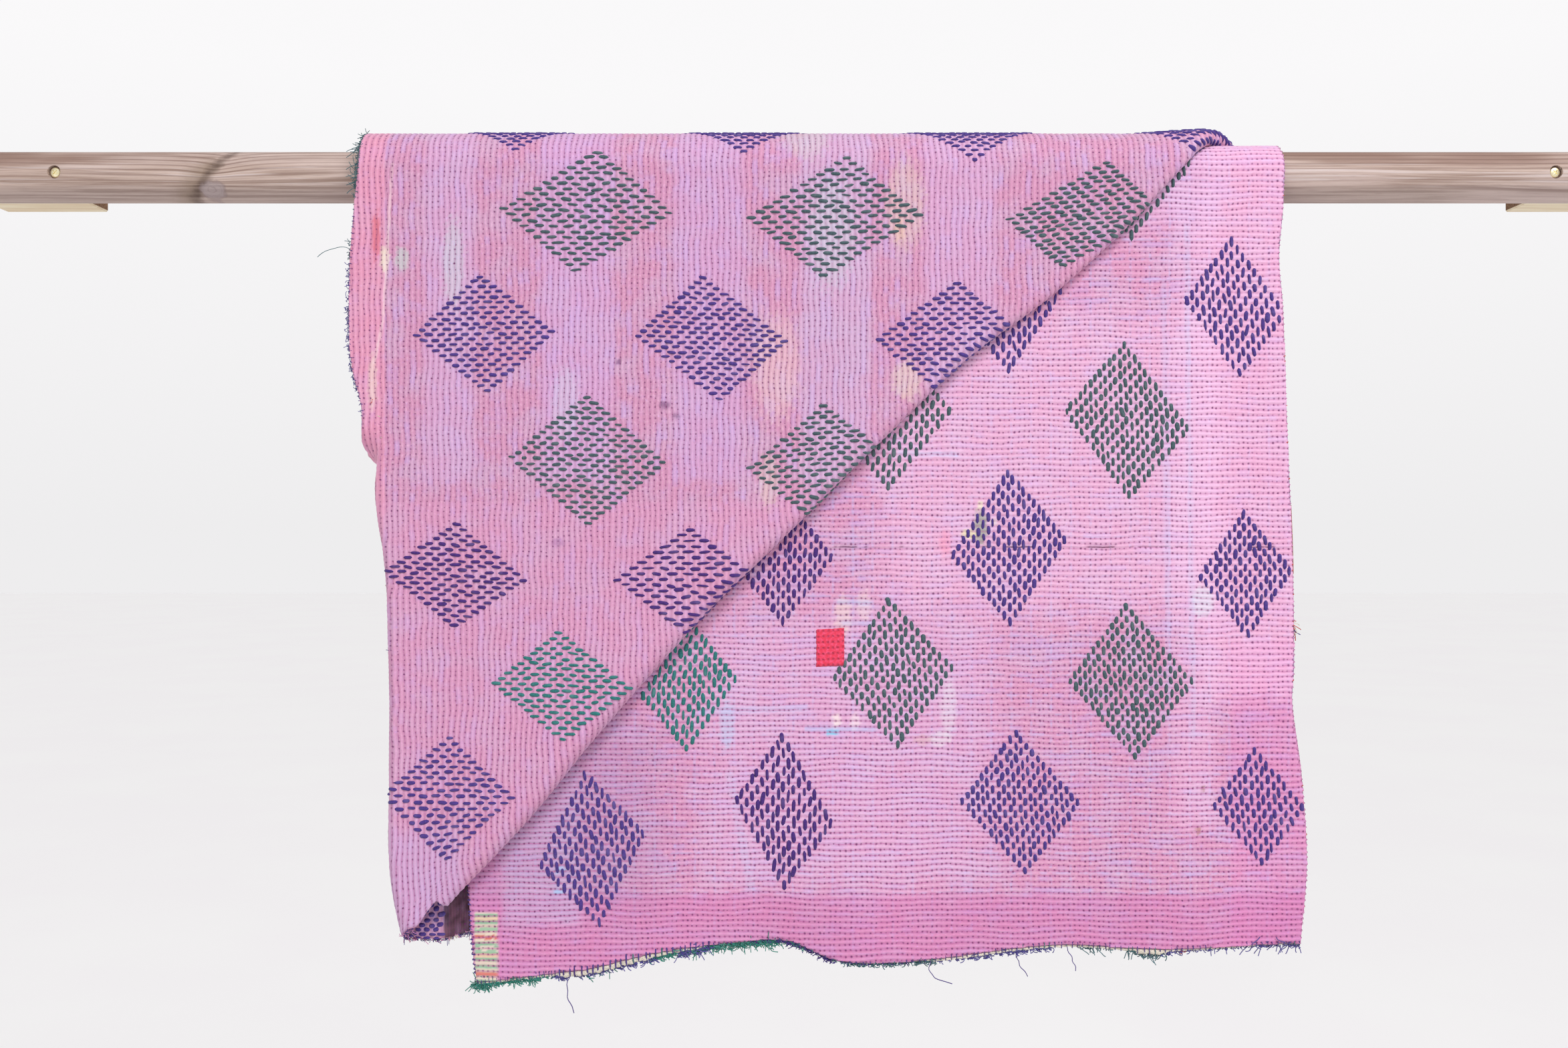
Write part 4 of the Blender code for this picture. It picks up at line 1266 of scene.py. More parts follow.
def make_flap_ends(sizes, materials, slots):
    """Loose threads of the flap's end, of its turned margin and of its lowest edge."""
    draw = np.random.default_rng(31)
    end = np.arange(FLAP_TURN, FLAP_TOP, 0.0062)
    over = whip(flap_end(end), 2.6 * MM, 0.9 * MM, 2.0 * MM, draw, 0.9 * MM)
    over_slots = np.where(end > -0.05, slots["petrol"], slots["purple"])
    low = np.arange(FLAP_FOLD_END, FLAP_TURN, 0.0075)
    fold = whip(flap_fold(low, 2.0 * MM), 2.4 * MM, 1.2 * MM, 2.0 * MM, draw)
    fold_slots = pick(draw, slots, ("cream", "ember", "pink"), len(low), (0.25, 0.1, 0.65))
    paths, numbers = gather((over, over_slots), (fold, fold_slots))
    whipping = make_tubes("whipping_flap", paths, 0.40 * MM, materials, numbers, 4)

    groups = []
    for low, high, name, curling, wide, flying, far in FLAP_CLUMPS:
        edge = flap_end(draw.uniform(low, high, curling))
        size = wide * (0.4 + 0.8 * draw.random(curling)) * MM
        groups.append((curls(edge, size, draw, steps=11), slots[name]))
        edge = flap_end(draw.uniform(low, high, flying))
        length = far * (0.4 + 0.6 * draw.random(flying)) * MM
        groups.append((loose(edge, length, draw, 0.06, 0.24), slots[name]))
    # one long thread has worked loose and stands off to the left
    root, _, _ = flap_end(np.array([STRAY_THREAD]))
    groups.append((long_threads(root, np.array([[-0.034, -0.004, -0.009]]),
                                np.array([[0, 0, 0.006]]), 9, (0, 0, 1)), slots["petrol"]))
    # short threads of the fold, red at its top and cream below
    red, pale = 22, 60
    level = np.concatenate([draw.uniform(*RED_FRAY, red),
                            draw.uniform(FLAP_FOLD_END, FLAP_TURN, pale)])
    sparse = loose(flap_fold(level, 2.5 * MM), (3.5 + 7 * draw.random(red + pale) ** 3) * MM,
                   draw, 0.35, 0.6)
    numbers = pick(draw, slots, ("cream", "purple", "petrol"), red + pale, (0.6, 0.25, 0.15))
    groups.append((sparse, np.where(np.arange(red + pale) < red, slots["ember"], numbers)))
    share = np.sort(draw.uniform(0.02, 0.98, 120))
    groups.append((curls(flap_foot(share), (0.8 + 1.6 * draw.random(120)) * MM, draw),
                   pick(draw, slots, ("purple", "pink", "plum", "cream"), 120,
                        (0.40, 0.35, 0.15, 0.1))))
    share = draw.uniform(0.02, 0.98, 40)
    groups.append((loose(flap_foot(share), (3 + 9 * draw.random(40) ** 2) * MM, draw, 0.3, 0.35),
                   pick(draw, slots, ("purple", "pink"), 40)))
    paths, numbers = gather(*groups)
    fray = make_tubes("fray_flap", paths, 0.34 * sizes.thread, materials, numbers)
    return whipping, fray


def make_patch(sizes, materials):
    """Sewn-on patch with turned edges and its own rows of stitches."""
    columns, rows = PATCH_CELLS
    width, height = PATCH_SIZE
    x = PATCH_MIDDLE[0] + width * (np.linspace(0, 1, columns + 1)[None] - 0.5)
    along = PATCH_MIDDLE[1] + height * (np.linspace(0, 1, rows + 1)[:, None] - 0.5)
    x, along = (v.ravel() for v in np.broadcast_arrays(x, along))
    slant = (x - PATCH_MIDDLE[0]) * 0.05
    edge = np.minimum(np.minimum(x - x.min(), x.max() - x),
                      np.minimum(along - along.min(), along.max() - along))
    turned = smooth(edge / (1.2 * MM))
    row = (along - along.min()) / (height / PATCH_ROWS)
    lift = TOP_LIFT + sizes.ridge + ROW_DIP + STITCH_DIP - 0.25 * MM + pucker(x, along)
    lift = lift + 0.75 * MM * np.abs(np.sin(np.pi * row)) ** 0.6 * turned
    lift = lift - 0.8 * MM * (1 - turned)
    lift = lift + 0.25 * MM * waves(x, along, 0.009, 2.0)
    wavy = 0.4 * MM * waves(x, along, 0.013, 1.0)
    points, _ = raised(inner_place, x + wavy, along + slant + wavy, lift + 0.5 * MM)
    made = make_piece("patch_red", points, grid_faces(columns, rows), materials,
                      {"place": np.stack([x, along], -1)})
    thicken(made, PATCH_THICK, -1)
    return made


# ---------------------------------------------------------------------------------- materials
# The steps that the finishes are worked out with: the node behind each word, and its settings
STEPS = {
    "plus": ("Math", {"operation": "ADD"}),
    "minus": ("Math", {"operation": "SUBTRACT"}),
    "times": ("Math", {"operation": "MULTIPLY"}),
    "times plus": ("Math", {"operation": "MULTIPLY_ADD"}),
    "over": ("Math", {"operation": "DIVIDE"}),
    "power": ("Math", {"operation": "POWER"}),
    "root": ("Math", {"operation": "SQRT"}),
    "size": ("Math", {"operation": "ABSOLUTE"}),
    "whole": ("Math", {"operation": "FLOOR"}),
    "part": ("Math", {"operation": "FRACT"}),
    "larger": ("Math", {"operation": "MAXIMUM"}),
    "shifted": ("VectorMath", {"operation": "ADD"}),
    "way from": ("VectorMath", {"operation": "SUBTRACT"}),
    "scaled": ("VectorMath", {"operation": "MULTIPLY"}),
    "corner": ("VectorMath", {"operation": "FLOOR"}),
    "length": ("VectorMath", {"operation": "LENGTH"}),
    "ease": ("MapRange", {"interpolation_type": "SMOOTHSTEP"}),
    "blend": ("Mix", {"data_type": "RGBA"}),
    "soft light": ("Mix", {"data_type": "RGBA", "blend_type": "SOFT_LIGHT"}),
}


def add(tree, kind, *values, **settings):
    """Add a shader node, known by its kind or as one of the steps, with its settings.

    Its inputs get the values in order, or by name from a dict. A socket or a node among them
    is linked, a node by its first output in use, and a colour may be an sRGB hex value.
    """
    kind, preset = STEPS.get(kind, (kind, {}))
    node = tree.nodes.new("ShaderNode" + kind)
    for name, value in {**preset, **settings}.items():
        setattr(node, name, value)
    named = bool(values) and isinstance(values[0], dict)
    in_use = [socket for socket in node.inputs if socket.enabled]
    for key, value in values[0].items() if named else enumerate(values):
        socket = node.inputs[key] if named else in_use[key]
        if isinstance(value, bpy.types.Node):
            value = next(made for made in value.outputs if made.enabled)
        if isinstance(value, bpy.types.NodeSocket):
            tree.links.new(value, socket)
        elif socket.type == "RGBA":
            socket.default_value = (*(linear(value) if isinstance(value, str) else value), 1.0)
        else:
            socket.default_value = value
    return node


def start_material(name):
    """Empty material, and what adds nodes to it."""
    made = bpy.data.materials.new(name)
    made.use_nodes = True
    made.node_tree.nodes.clear()
    return made, partial(add, made.node_tree)


def finish_material(made, surface):
    """Give the material its surface, and set its nodes out in columns as they were added."""
    tree = made.node_tree
    add(tree, "OutputMaterial", add(tree, "BsdfPrincipled", surface))
    for number, node in enumerate(tree.nodes):
        node.location = (220 * (number // 6), -240 * (number % 6))
    return made


def wave_scale(length):
    """Scale at which the wave texture repeats once in this length."""
    return 2 * math.pi / length / 20


def quilted_cotton(name, layer, colours, sizes):
    """Old handwoven sari cotton, dyed pink and worn pale, held in ridges by running stitch.

    The weave is drawn coarse, at 0.7 mm, because its real 0.3 mm is too fine to show. It gives
    a soft, dry look: no gloss, a faint sheen of fibre ends at grazing angles, darker threads
    sunk in each groove and small knots of plum thread where a stitch dips through. Its colour
    also has painted shade in each groove, a painted highlight on each ridge top and, on the
    tail, painted shade of the fold.
    """
    made, node = start_material(name)
    stitch_way, row_way = STITCH_PITCH[layer] / MM, sizes.row_pitch / MM
    spot = node("UVMap", uv_map="stitches")
    place = node("UVMap", uv_map="place")
    quiet = node("SeparateColor", node("Attribute", attribute_name="marks"))
    wear = node("TexNoise", place, 1 / (38 * MM), 3.0)
    patchy = node("TexNoise", place, 1 / (8 * MM), 3.0)
    fine = node("TexNoise", place, 1 / (3.5 * MM), 4.0, 0.65)

    # each knot of the running stitch, a little off its place
    cell = node("corner", node("shifted", spot, (0.5, 0.5, 0)))
    inside = node("way from", spot, cell)
    chance = node("TexWhiteNoise", cell)
    stray = node("way from", chance.outputs["Color"], (0.5, 0.5, 0.5))
    near = node("way from", inside, node("scaled", stray, (0.34, 0.16, 0)))
    away = node("length", node("scaled", near, (row_way, stitch_way, 0)))
    size = node("times plus", wear, 0.6, KNOT_SIZE[layer])
    size = node("times plus", chance, KNOT_SPREAD[layer], size)
    knot = node("ease", away, node("times", size, 1.25), node("times", size, 0.15))
    loud = node("minus", 1.0, node("times", quiet, 0.85), use_clamp=True)
    knot = node("times", knot, loud)
    strong = node("SeparateColor", chance.outputs["Color"]).outputs[2]
    knot = node("times", knot, node("times plus", strong, 0.5, 0.5))

    # the groove between two ridges with its painted shade, the thread that runs in it, and the
    # ridge top that gets a painted highlight
    local = node("SeparateXYZ", inside)
    off_line = node("times", node("size", local.outputs[1]), stitch_way)
    reach = node("ease", node("size", local.outputs[0]), 0.5, 0.05)
    reach = node("times plus", reach, 0.8, 1.3)
    groove_shade = node("times", node("ease", off_line, reach, -0.3), node("ease", patchy, 0.24, 0.50))
    thread = node("times", node("ease", off_line, THREAD_WIDTH[layer], 0.1),
                  node("ease", patchy, 0.42, 0.56))
    thread = node("times", thread, loud)
    # the middle of each ridge, where its top gets a painted highlight
    top = node("ease", off_line, 1.3, 2.7)

    worn = node("ease", wear, 0.42, 0.66)
    # each layer's cloth is scaled by LAYER_SHADE; on the tail that is painted shade of the fold
    colour = node("blend", worn, *([part * LAYER_SHADE[layer] for part in dye]
                                   for dye in (colours.cloth, colours.faded)))
    # the ridges show the blue and lilac yarns of the cloth below, in runs along each ridge
    on_cloth = node("SeparateXYZ", spot)
    ridge = node("whole", on_cloth.outputs[1])
    run = node("CombineXYZ", node("times", on_cloth.outputs[0], 0.16), node("times", ridge, 7.31))
    lilac = node("ease", node("TexNoise", run, 1.0, 3.0, 0.6), 0.47, 0.66)
    colour = node("blend", node("times", lilac, 0.52), colour, "#BB9CD2")
    bloom = node("ease", fine, 0.46, 0.7)
    colour = node("blend", node("times", bloom, 0.3), colour, "#EFC4DC")
    axes = node("SeparateXYZ", place)
    if layer == "inner":
        # pale blue check of the cloth under the worn one, 21 mm from line to line
        lines = []
        for axis in axes.outputs[:2]:
            across = node("minus", node("part", node("over", axis, 21 * MM)), 0.5)
            lines.append(node("ease", node("size", across), 0.10, 0.03))
        shown = node("times", node("ease", patchy, 0.40, 0.60), 0.40)
        check = node("times", node("larger", *lines), shown)
        colour = node("blend", check, colour, "#B4B2E0")
    # the cloth's pieced, worn and stained places, and its painted shade, from the tint attribute
    tint = node("Attribute", attribute_name="tint")
    colour = node("blend", tint.outputs["Alpha"], colour, tint)
    fleck = node("ease", node("TexVoronoi", place, 1 / (7 * MM)), 0.19, 0.09)
    colour = node("soft light", node("times", fleck, 0.4), colour, "#B9C6EC")
    # painted highlight on the ridge tops
    colour = node("soft light", node("times", top, 0.45), colour, "#F6DCEA")
    # the painted shade in the grooves is deeper low down
    low_down = node("ease", axes.outputs[1], -0.40, -0.70)
    depth = node("times plus", low_down, GROOVE_PAINTED_SHADE[layer] * 0.45, GROOVE_PAINTED_SHADE[layer] * 0.55)
    # painted shade darkens the grooves between the ridges
    colour = node("blend", node("times", groove_shade, depth), colour, "#BC669E")
    colour = node("blend", node("times", thread, THREAD_SHOW[layer]), colour, "#803A70")
    colour = node("blend", node("times", knot, 0.95), colour, colours.plum)

    yarns = (node("TexWave", place, wave_scale(0.7 * MM), 1.5, 1.0, bands_direction=way)
             for way in ("X", "Y"))
    weave = node("times", *(yarn.outputs["Fac"] for yarn in yarns))
    height = node("times plus", fine, 1.0, node("times", weave, 0.15))
    height = node("minus", height, knot)
    height = node("times plus", thread, -THREAD_SHOW[layer], height)
    bump = node("Bump", {"Height": height, "Strength": 0.75, "Distance": 0.5 * MM})
    return finish_material(made, {"Base Color": colour, "Normal": bump, "Roughness": 0.92,
                                  "Specular IOR Level": 0.25, "Sheen Weight": SHEEN[layer],
                                  "Sheen Roughness": 0.5})


def lining_cotton(colours, sizes):
    """Older sari cotton of the quilt's other face, faded plum and pink in broad patches.

    The rows of running stitch come through it as small dashes on low ridges. The eye gets a
    dull, soft cloth without any gloss.
    """
    made, node = start_material("Faded lining cotton")
    place = node("UVMap", uv_map="place")
    spot = node("scaled", place, (1 / sizes.row_pitch, 1 / sizes.row_pitch, 0))
    cell = node("corner", node("shifted", spot, (0.5, 0.5, 0)))
    chance = node("TexWhiteNoise", cell)
    away = node("length", node("scaled", node("way from", spot, cell), (0.55, 1.25, 0)))
    dash = node("times", node("ease", away, 0.24, 0.14), node("times plus", chance, 0.5, 0.4))
    broad = node("TexNoise", place, 1 / (120 * MM), 3.0)
    fine = node("TexNoise", place, 1 / (5 * MM), 4.0)
    colour = node("blend", node("ease", broad, 0.4, 0.62), "#CF8DB6", "#B995C2")
    bloom = node("ease", fine, 0.45, 0.7)
    colour = node("blend", node("times", bloom, 0.5), colour, "#E7BFD8")
    colour = node("blend", node("times", dash, 0.85), colour, colours.plum)
    ridges = node("TexWave", place, wave_scale(sizes.row_pitch), 0.8, 1.0, bands_direction="Y")
    height = node("minus", ridges.outputs["Fac"], dash)
    height = node("times plus", fine, 0.8, height)
    bump = node("Bump", {"Height": height, "Strength": 0.7, "Distance": 0.8 * MM})
    return finish_material(made, {"Base Color": colour, "Normal": bump, "Roughness": 0.93,
                                  "Specular IOR Level": 0.25, "Sheen Weight": 0.2,
                                  "Sheen Roughness": 0.5})


def cotton_thread(name, colour):
    """Twisted cotton thread: matt, with a fibrous sheen, paler where its plies catch light."""
    made, node = start_material(name)
    where = node("TexCoord").outputs["Object"]
    broad = node("TexNoise", where, 1 / (14 * MM), 2.0)
    plies = node("TexNoise", where, 1 / (1.3 * MM), 3.0)
    pale = [mix(part, 0.75, 0.10) for part in colour]
    dark = [part * 0.62 for part in colour]
    shade = node("blend", node("ease", plies, 0.35, 0.7), dark, colour)
    dusty = node("ease", broad, 0.5, 0.75)
    shade = node("blend", node("times", dusty, 0.6), shade, pale)
    bump = node("Bump", {"Height": plies, "Strength": 0.6, "Distance": 0.3 * MM})
    return finish_material(made, {"Base Color": shade, "Normal": bump, "Roughness": 0.8,
                                  "Sheen Weight": 0.3, "Sheen Roughness": 0.4})


def patch_cotton(colours):
    """Newer printed cotton of the sewn-on patch, still bright, with its own red running stitch.

    Matt like the quilt, but less worn, so its weave shows evenly and its colour is strong.
    """
    made, node = start_material("Bright patch cotton")
    place = node("UVMap", uv_map="place")
    fine = node("TexNoise", place, 1 / (3 * MM), 4.0)
    rows = node("TexWave", place, wave_scale(6.1 * MM), 0.6, bands_direction="Y")
    across = node("TexWave", place, wave_scale(5.2 * MM), 1.0, bands_direction="X")
    knots = node("times", node("ease", rows.outputs["Fac"], 0.5, 0.0),
                 node("ease", across.outputs["Fac"], 0.3, 1.0))
    colour = node("blend", node("ease", fine, 0.42, 0.7), colours.patch, "#EA4F78")
    colour = node("blend", node("times", knots, 0.6), colour, "#A01C44")
    bump = node("Bump", {"Height": node("minus", fine, knots), "Strength": 0.8,
                         "Distance": 0.9 * MM})
    return finish_material(made, {"Base Color": colour, "Normal": bump, "Roughness": 0.85,
                                  "Sheen Weight": 0.2})


def weathered_softwood(colours):
    """Softwood handrail, moulded and left bare, gone grey-brown from light and hands.

    Growth lines and long uneven grain run along the rail, warmer above and greyer below in
    painted shade, with silvery streaks on its front that are partly worn places and partly a
    painted highlight. They sweep down into one pale knot with a dark resin streak beside it.
    Dry and matt, a little smoother than sawn wood.
    """
    made, node = start_material("Weathered softwood")
    where = node("NewGeometry")
    x, y, z = node("SeparateXYZ", where).outputs

    # a resin streak slants up past the knot, and the grain sweeps down to it
    knot_x, knot_z = (node("minus", axis, middle) for axis, middle in zip((x, z), WOOD_KNOT))
    streak_x, streak_z = RESIN_STREAK
    over_x, over_z = ACROSS_STREAK
    slant = node("times plus", node("plus", z, -streak_z), over_z,
                 node("times", node("minus", x, streak_x), over_x))
    rounded = node("root", node("times plus", slant, slant, 3e-5))
    near = node("power", math.e, node("over", rounded, -17 * MM))
    sweep = node("times", near, node("ease", knot_z, 2 * MM, 24 * MM))
    grain_z = node("times plus", sweep, 12 * MM, z)
    # noises stretched along the rail: their scales along it, into the wall and upward
    sway, fibre, broad, silver = (
        node("TexNoise", node("CombineXYZ", node("times", x, along), node("times", y, depth),
                              node("times", height, up)), 1.0, detail)
        for height, along, depth, up, detail in ((grain_z, 2.2, 22.0, 22.0, 2.0),
                                                 (grain_z, 40.0, 1500.0, 1500.0, 3.0),
                                                 (z, 4.0, 12.0, 30.0, 3.0),
                                                 (grain_z, 6.0, 420.0, 420.0, 3.0)))
    layers = node("times plus", y, 0.35, node("times plus", sway, 15 * MM, grain_z))
    growth = node("part", node("over", layers, 6.4 * MM))
    growth = node("times", node("ease", growth, 0.50, 0.90), node("ease", growth, 1.0, 0.93))
    growth = node("times", growth, node("ease", sway, 0.30, 0.62))
    grain_at = node("CombineXYZ", node("times", x, 5.0), node("times", y, 260.0),
                    node("times plus", grain_z, 260.0, node("times", sway, 6.0)))
    grain = node("TexNoise", grain_at, 1.0, 6.0, 0.62)
    rough = node("TexNoise", where, 1 / (9 * MM), 4.0)

    # the streak is dark on the knot's side and fades to an olive stain on the other
    off = node("times plus", rough, 9 * MM, node("minus", slant, 4.5 * MM))
    streak = node("times", node("ease", off, -6 * MM, 3 * MM),
                  node("ease", off, 11 * MM, 2 * MM))
    streak = node("times", streak,
                  node("times plus", node("ease", grain, 0.60, 0.38), 0.45, 0.55))
    stain = node("times", node("ease", off, -5 * MM, 3 * MM),
                 node("ease", off, 30 * MM, 4 * MM))
    stain = node("times", stain, node("ease", z, 22 * MM, 4 * MM))
    # rings of the knot, 1 at its rim
    ring_x, ring_z = (node("over", way, half)
                      for way, half in zip((knot_x, knot_z), WOOD_KNOT[2:]))
    ring = node("root", node("plus", node("times", ring_x, ring_x),
                             node("times", ring_z, ring_z)))
    ring = node("times plus", rough, 0.9, node("minus", ring, 0.42))
    rim = node("times", node("ease", ring, 1.25, 1.04), node("ease", ring, 0.75, 1.0))
    turns = node("part", node("times", ring, 2.6))
    turns = node("times", node("ease", turns, 0.70, 0.95), node("ease", ring, 0.95, 0.6))

    upper = node("times", node("ease", z, -2 * MM, 14 * MM),
                 node("times", node("ease", broad, 0.72, 0.36), 0.85))
    # the rail's front band, where the silvery streaks show as worn places and painted highlight
    front = node("times", node("ease", z, -19 * MM, -9 * MM),
                 node("ease", z, 14 * MM, 4 * MM))
    silvery = node("times", node("ease", silver, 0.52, 0.68), node("times", front, 0.6))
    colour = node("blend", node("ease", grain, 0.32, 0.62), "#957D71", colours.wood)
    for shown, share, code in ((upper, None, "#84665B"),
                               # painted shade: greyer and darker on the underside
                               (node("ease", z, -10 * MM, -22 * MM), 0.35, "#968A89"),
                               (node("ease", broad, 0.48, 0.68), 0.45, "#CDB9B4"),
                               (growth, 0.55, "#6E544B"),
                               # silvery streaks: partly worn places, partly painted highlight
                               (silvery, None, "#D6C8C6"),
                               (node("ease", fibre, 0.58, 0.75), 0.35, "#6F5850"),
                               (stain, 0.55, "#7A6752"),
                               (streak, 0.80, "#54413B"),
                               (node("ease", ring, 1.2, 0.8), 0.7, "#A59798"),
                               (node("larger", rim, turns), 0.28, "#6D5856")):
        shown = shown if share is None else node("times", shown, share)
        colour = node("blend", shown, colour, code)
    height = node("times plus", grain, 1.2, fibre)
    height = node("times plus", growth, -0.4, height)
    bump = node("Bump", {"Height": height, "Strength": 0.5, "Distance": 0.35 * MM})
    return finish_material(made, {"Base Color": colour, "Normal": bump, "Roughness": 0.68,
                                  "IOR": 1.5, "Specular IOR Level": 0.3})


def planed_pine(colours):
    """Bare pine batten, machine planed: pale cream, straight darker growth lines, satin dry.

    Its sawn ends are brown and duller, because end grain drinks in dirt and shows its pores;
    their darkest brown is painted shade, for they lie in the rail's shadow.
    """
    made, node = start_material("Planed pine")
    shape = node("NewGeometry")
    lines, fibre, pores = (
        node("TexNoise", node("scaled", shape, scales), 1.0, detail)
        for scales, detail in (((6.0, 150.0, 150.0), 4.0), ((40.0, 900.0, 1300.0), 3.0),
                               ((0.0, 420.0, 700.0), 4.0)))
    colour = node("blend", node("ease", lines, 0.42, 0.6), colours.pine, "#D2BD9C")
    pale = node("ease", fibre, 0.5, 0.8)
    colour = node("blend", node("times", pale, 0.4), colour, "#EFE6D2")
    # the sawn ends: end grain, darkened further as painted shade
    sawn = node("blend", node("ease", pores, 0.4, 0.62), "#6E4A30", "#94704F")
    endways = node("size", node("SeparateXYZ", shape.outputs["True Normal"]))
    colour = node("blend", node("ease", endways, 0.80, 0.95), colour, sawn)
    bump = node("Bump", {"Height": fibre, "Strength": 0.4, "Distance": 0.25 * MM})
    return finish_material(made, {"Base Color": colour, "Normal": bump, "Roughness": 0.6,
                                  "IOR": 1.5, "Specular IOR Level": 0.4})


def turned_brass(colours):
    """Brass screw, turned and lightly lacquered: pale gold, a soft highlight with fine turning."""
    made, node = start_material("Turned brass")
    spots = node("TexNoise", node("TexCoord").outputs["Object"], 1 / (3 * MM), 4.0)
    colour = node("blend", node("ease", spots, 0.4, 0.7), colours.brass, "#F5E8B8")
    rough = node("times plus", spots, 0.25, 0.25)
    return finish_material(made, {"Base Color": colour, "Roughness": rough, "Metallic": 1.0})


def limewashed_floor():
    """Floor of troweled lime plaster, pale and dry, with a faint cloudiness from the trowel."""
    made, node = start_material("Troweled lime plaster")
    clouds = node("TexNoise", node("NewGeometry"), 1.3, 4.0)
    colour = node("blend", node("ease", clouds, 0.3, 0.7), "#FBF9FA", "#FCFBFB")
    return finish_material(made, {"Base Color": colour, "Roughness": 0.9})


# ----------------------------------------------------------------------------- what users set
class KanthaSizes(PropertyGroup):
    """Sizes of the stitching that a maker would change."""

    row_pitch: FloatProperty(
        name="Row Spacing", description="Way from one row of running stitch to the next",
        default=ROW_PITCH, min=3 * MM, max=12 * MM, unit="LENGTH", subtype="DISTANCE")
    ridge: FloatProperty(
        name="Ridge Height", description="How far the cloth puffs up between two stitches",
        default=RIDGE, min=0.0, max=2 * MM, unit="LENGTH", subtype="DISTANCE")
    stitch_width: FloatProperty(
        name="Bold Stitch Width", description="Width of the thick thread in the diamonds",
        default=DASH_WIDTH, min=1 * MM, max=5 * MM, unit="LENGTH", subtype="DISTANCE")
    thread: FloatProperty(
        name="Loose Thread", description="Thickness of the loose threads at the frayed ends",
        default=THREAD, min=0.3 * MM, max=1.5 * MM, unit="LENGTH", subtype="DISTANCE")


def colour_setting(name, description, code):
    """Property for one colour, its default from an sRGB hex value."""
    return FloatVectorProperty(name=name, description=description, default=linear(code),
                               size=3, min=0.0, max=1.0, subtype="COLOR")


class KanthaColours(PropertyGroup):
    """Colours of the cloths, threads, wood and metal."""

    cloth: colour_setting("Pink Cloth", "Dyed pink of the top cloth", "#CF92B3")
    faded: colour_setting("Faded Cloth", "Lilac to which the pink has worn", "#CCA1C1")
    plum: colour_setting("Plum Thread", "Dark thread of the running stitch", "#6B2A62")
    purple: colour_setting("Purple Thread", "Violet thread of the bold diamonds", "#4B328C")
    slate: colour_setting("Slate Thread", "Grey-green thread of the bold diamonds", "#455F66")
    wine: colour_setting("Dark Plum Thread", "Plum-violet thread of the bold diamonds", "#46207C")
    teal: colour_setting("Teal Thread", "Blue-green thread of the bold diamonds", "#247D7C")
    patch: colour_setting("Patch", "Red of the sewn-on patch", "#DC3250")
    wood: colour_setting("Weathered Wood", "Grey-brown of the bare rail", "#C6B0A5")
    pine: colour_setting("Pine", "Pale cream of the wall blocks", "#E2D5B8")
    brass: colour_setting("Brass", "Pale gold of the screws", "#FDF3CE")


def settings(context):
    """The scene's sizes and colours."""
    return context.scene.kantha_sizes, context.scene.kantha_colours


def threads(colours):
    """Materials of every thread, and the number of each by name."""
    kinds = (("purple", colours.purple), ("slate", colours.slate), ("plum", colours.wine),
             ("teal", colours.teal), ("cream", linear("#E6DCCB")), ("ember", linear("#D4574A")),
             ("pink", linear("#D98BBE")), ("green", linear("#2E9080")),
             ("petrol", linear("#3E6F78")), ("rust", linear("#B4734F")),
             ("iris", linear("#564CA2")))
    made = [cotton_thread(f"{name.capitalize()} cotton thread", colour)
            for name, colour in kinds]
    return made, {name: number for number, (name, _) in enumerate(kinds)}


def onto_body(objects):
    """Make every piece part of the one fixed body."""
    for made in objects:
        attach(made, "root")


class KanthaLining(Operator):
    """Build the wadded lining on the solid's folds."""

    bl_idname = "kantha.lining"
    bl_label = "Quilt Lining"

    def execute(self, context):
        sizes, colours = settings(context)
        made = make_lining([lining_cotton(colours, sizes)])
        onto_body([made])
        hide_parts("quilt")
        return {"FINISHED"}


class KanthaTop(Operator):
    """Lay the stitched top cloth over the inner half and the flap."""

    bl_idname = "kantha.top"
    bl_label = "Stitched Top Cloth"

    def execute(self, context):
        sizes, colours = settings(context)
        inner, flap, tail = (
            quilted_cotton(f"Worn pink quilted cotton{name}", layer, colours, sizes)
            for name, layer in (("", "inner"), (", flap", "flap"), (", tail", "tail")))

        def below(x, along):
            return inner_inside(x, along) & (along < SPLIT_LEVEL + 1.5 * MM)

        def above(x, along):
            return inner_inside(x, along) & (along > SPLIT_LEVEL)

        pieces = [
            make_top("quilt_top_inner_low", "inner", inner_place, below, inner_clamp,
                     (0.42, 1.34, -0.875, SPLIT_LEVEL), True, sizes, [inner]),
            make_top("quilt_top_inner_high", "inner", inner_place, above, inner_clamp,
                     (0.70, 1.34, SPLIT_LEVEL, 0.13), True, sizes, [inner]),
            make_top("quilt_top_flap", "flap", flap_place, flap_inside, flap_clamp,
                     (0.22, 1.36, -0.80, 0.16), False, sizes, [flap]),
            make_top("quilt_top_tail", "tail", tail_place, tail_inside, tail_clamp,
                     (0.36, 0.48, -0.775, -0.62), False, sizes, [tail]),
        ]
        onto_body(pieces)
        return {"FINISHED"}


class KanthaStitches(Operator):
    """Sew the diamonds of bold stitches."""

    bl_idname = "kantha.stitches"
    bl_label = "Bold Stitches"

    def execute(self, context):
        sizes, colours = settings(context)
        materials, slots = threads(colours)
        pieces = [
            make_stitches("stitches_inner", "inner", inner_place, inner_inside, 1, sizes,
                          materials, slots),
            make_stitches("stitches_flap", "flap", flap_place, flap_inside, 1, sizes,
                          materials, slots),
            make_stitches("stitches_tail", "tail", tail_place, tail_sewn, 1, sizes, materials,
                          slots),
            make_stitches("stitches_back", "inner", inner_place, inner_inside, -1, sizes,
                          materials, slots, 4, 2),
        ]
        onto_body(pieces)
        return {"FINISHED"}


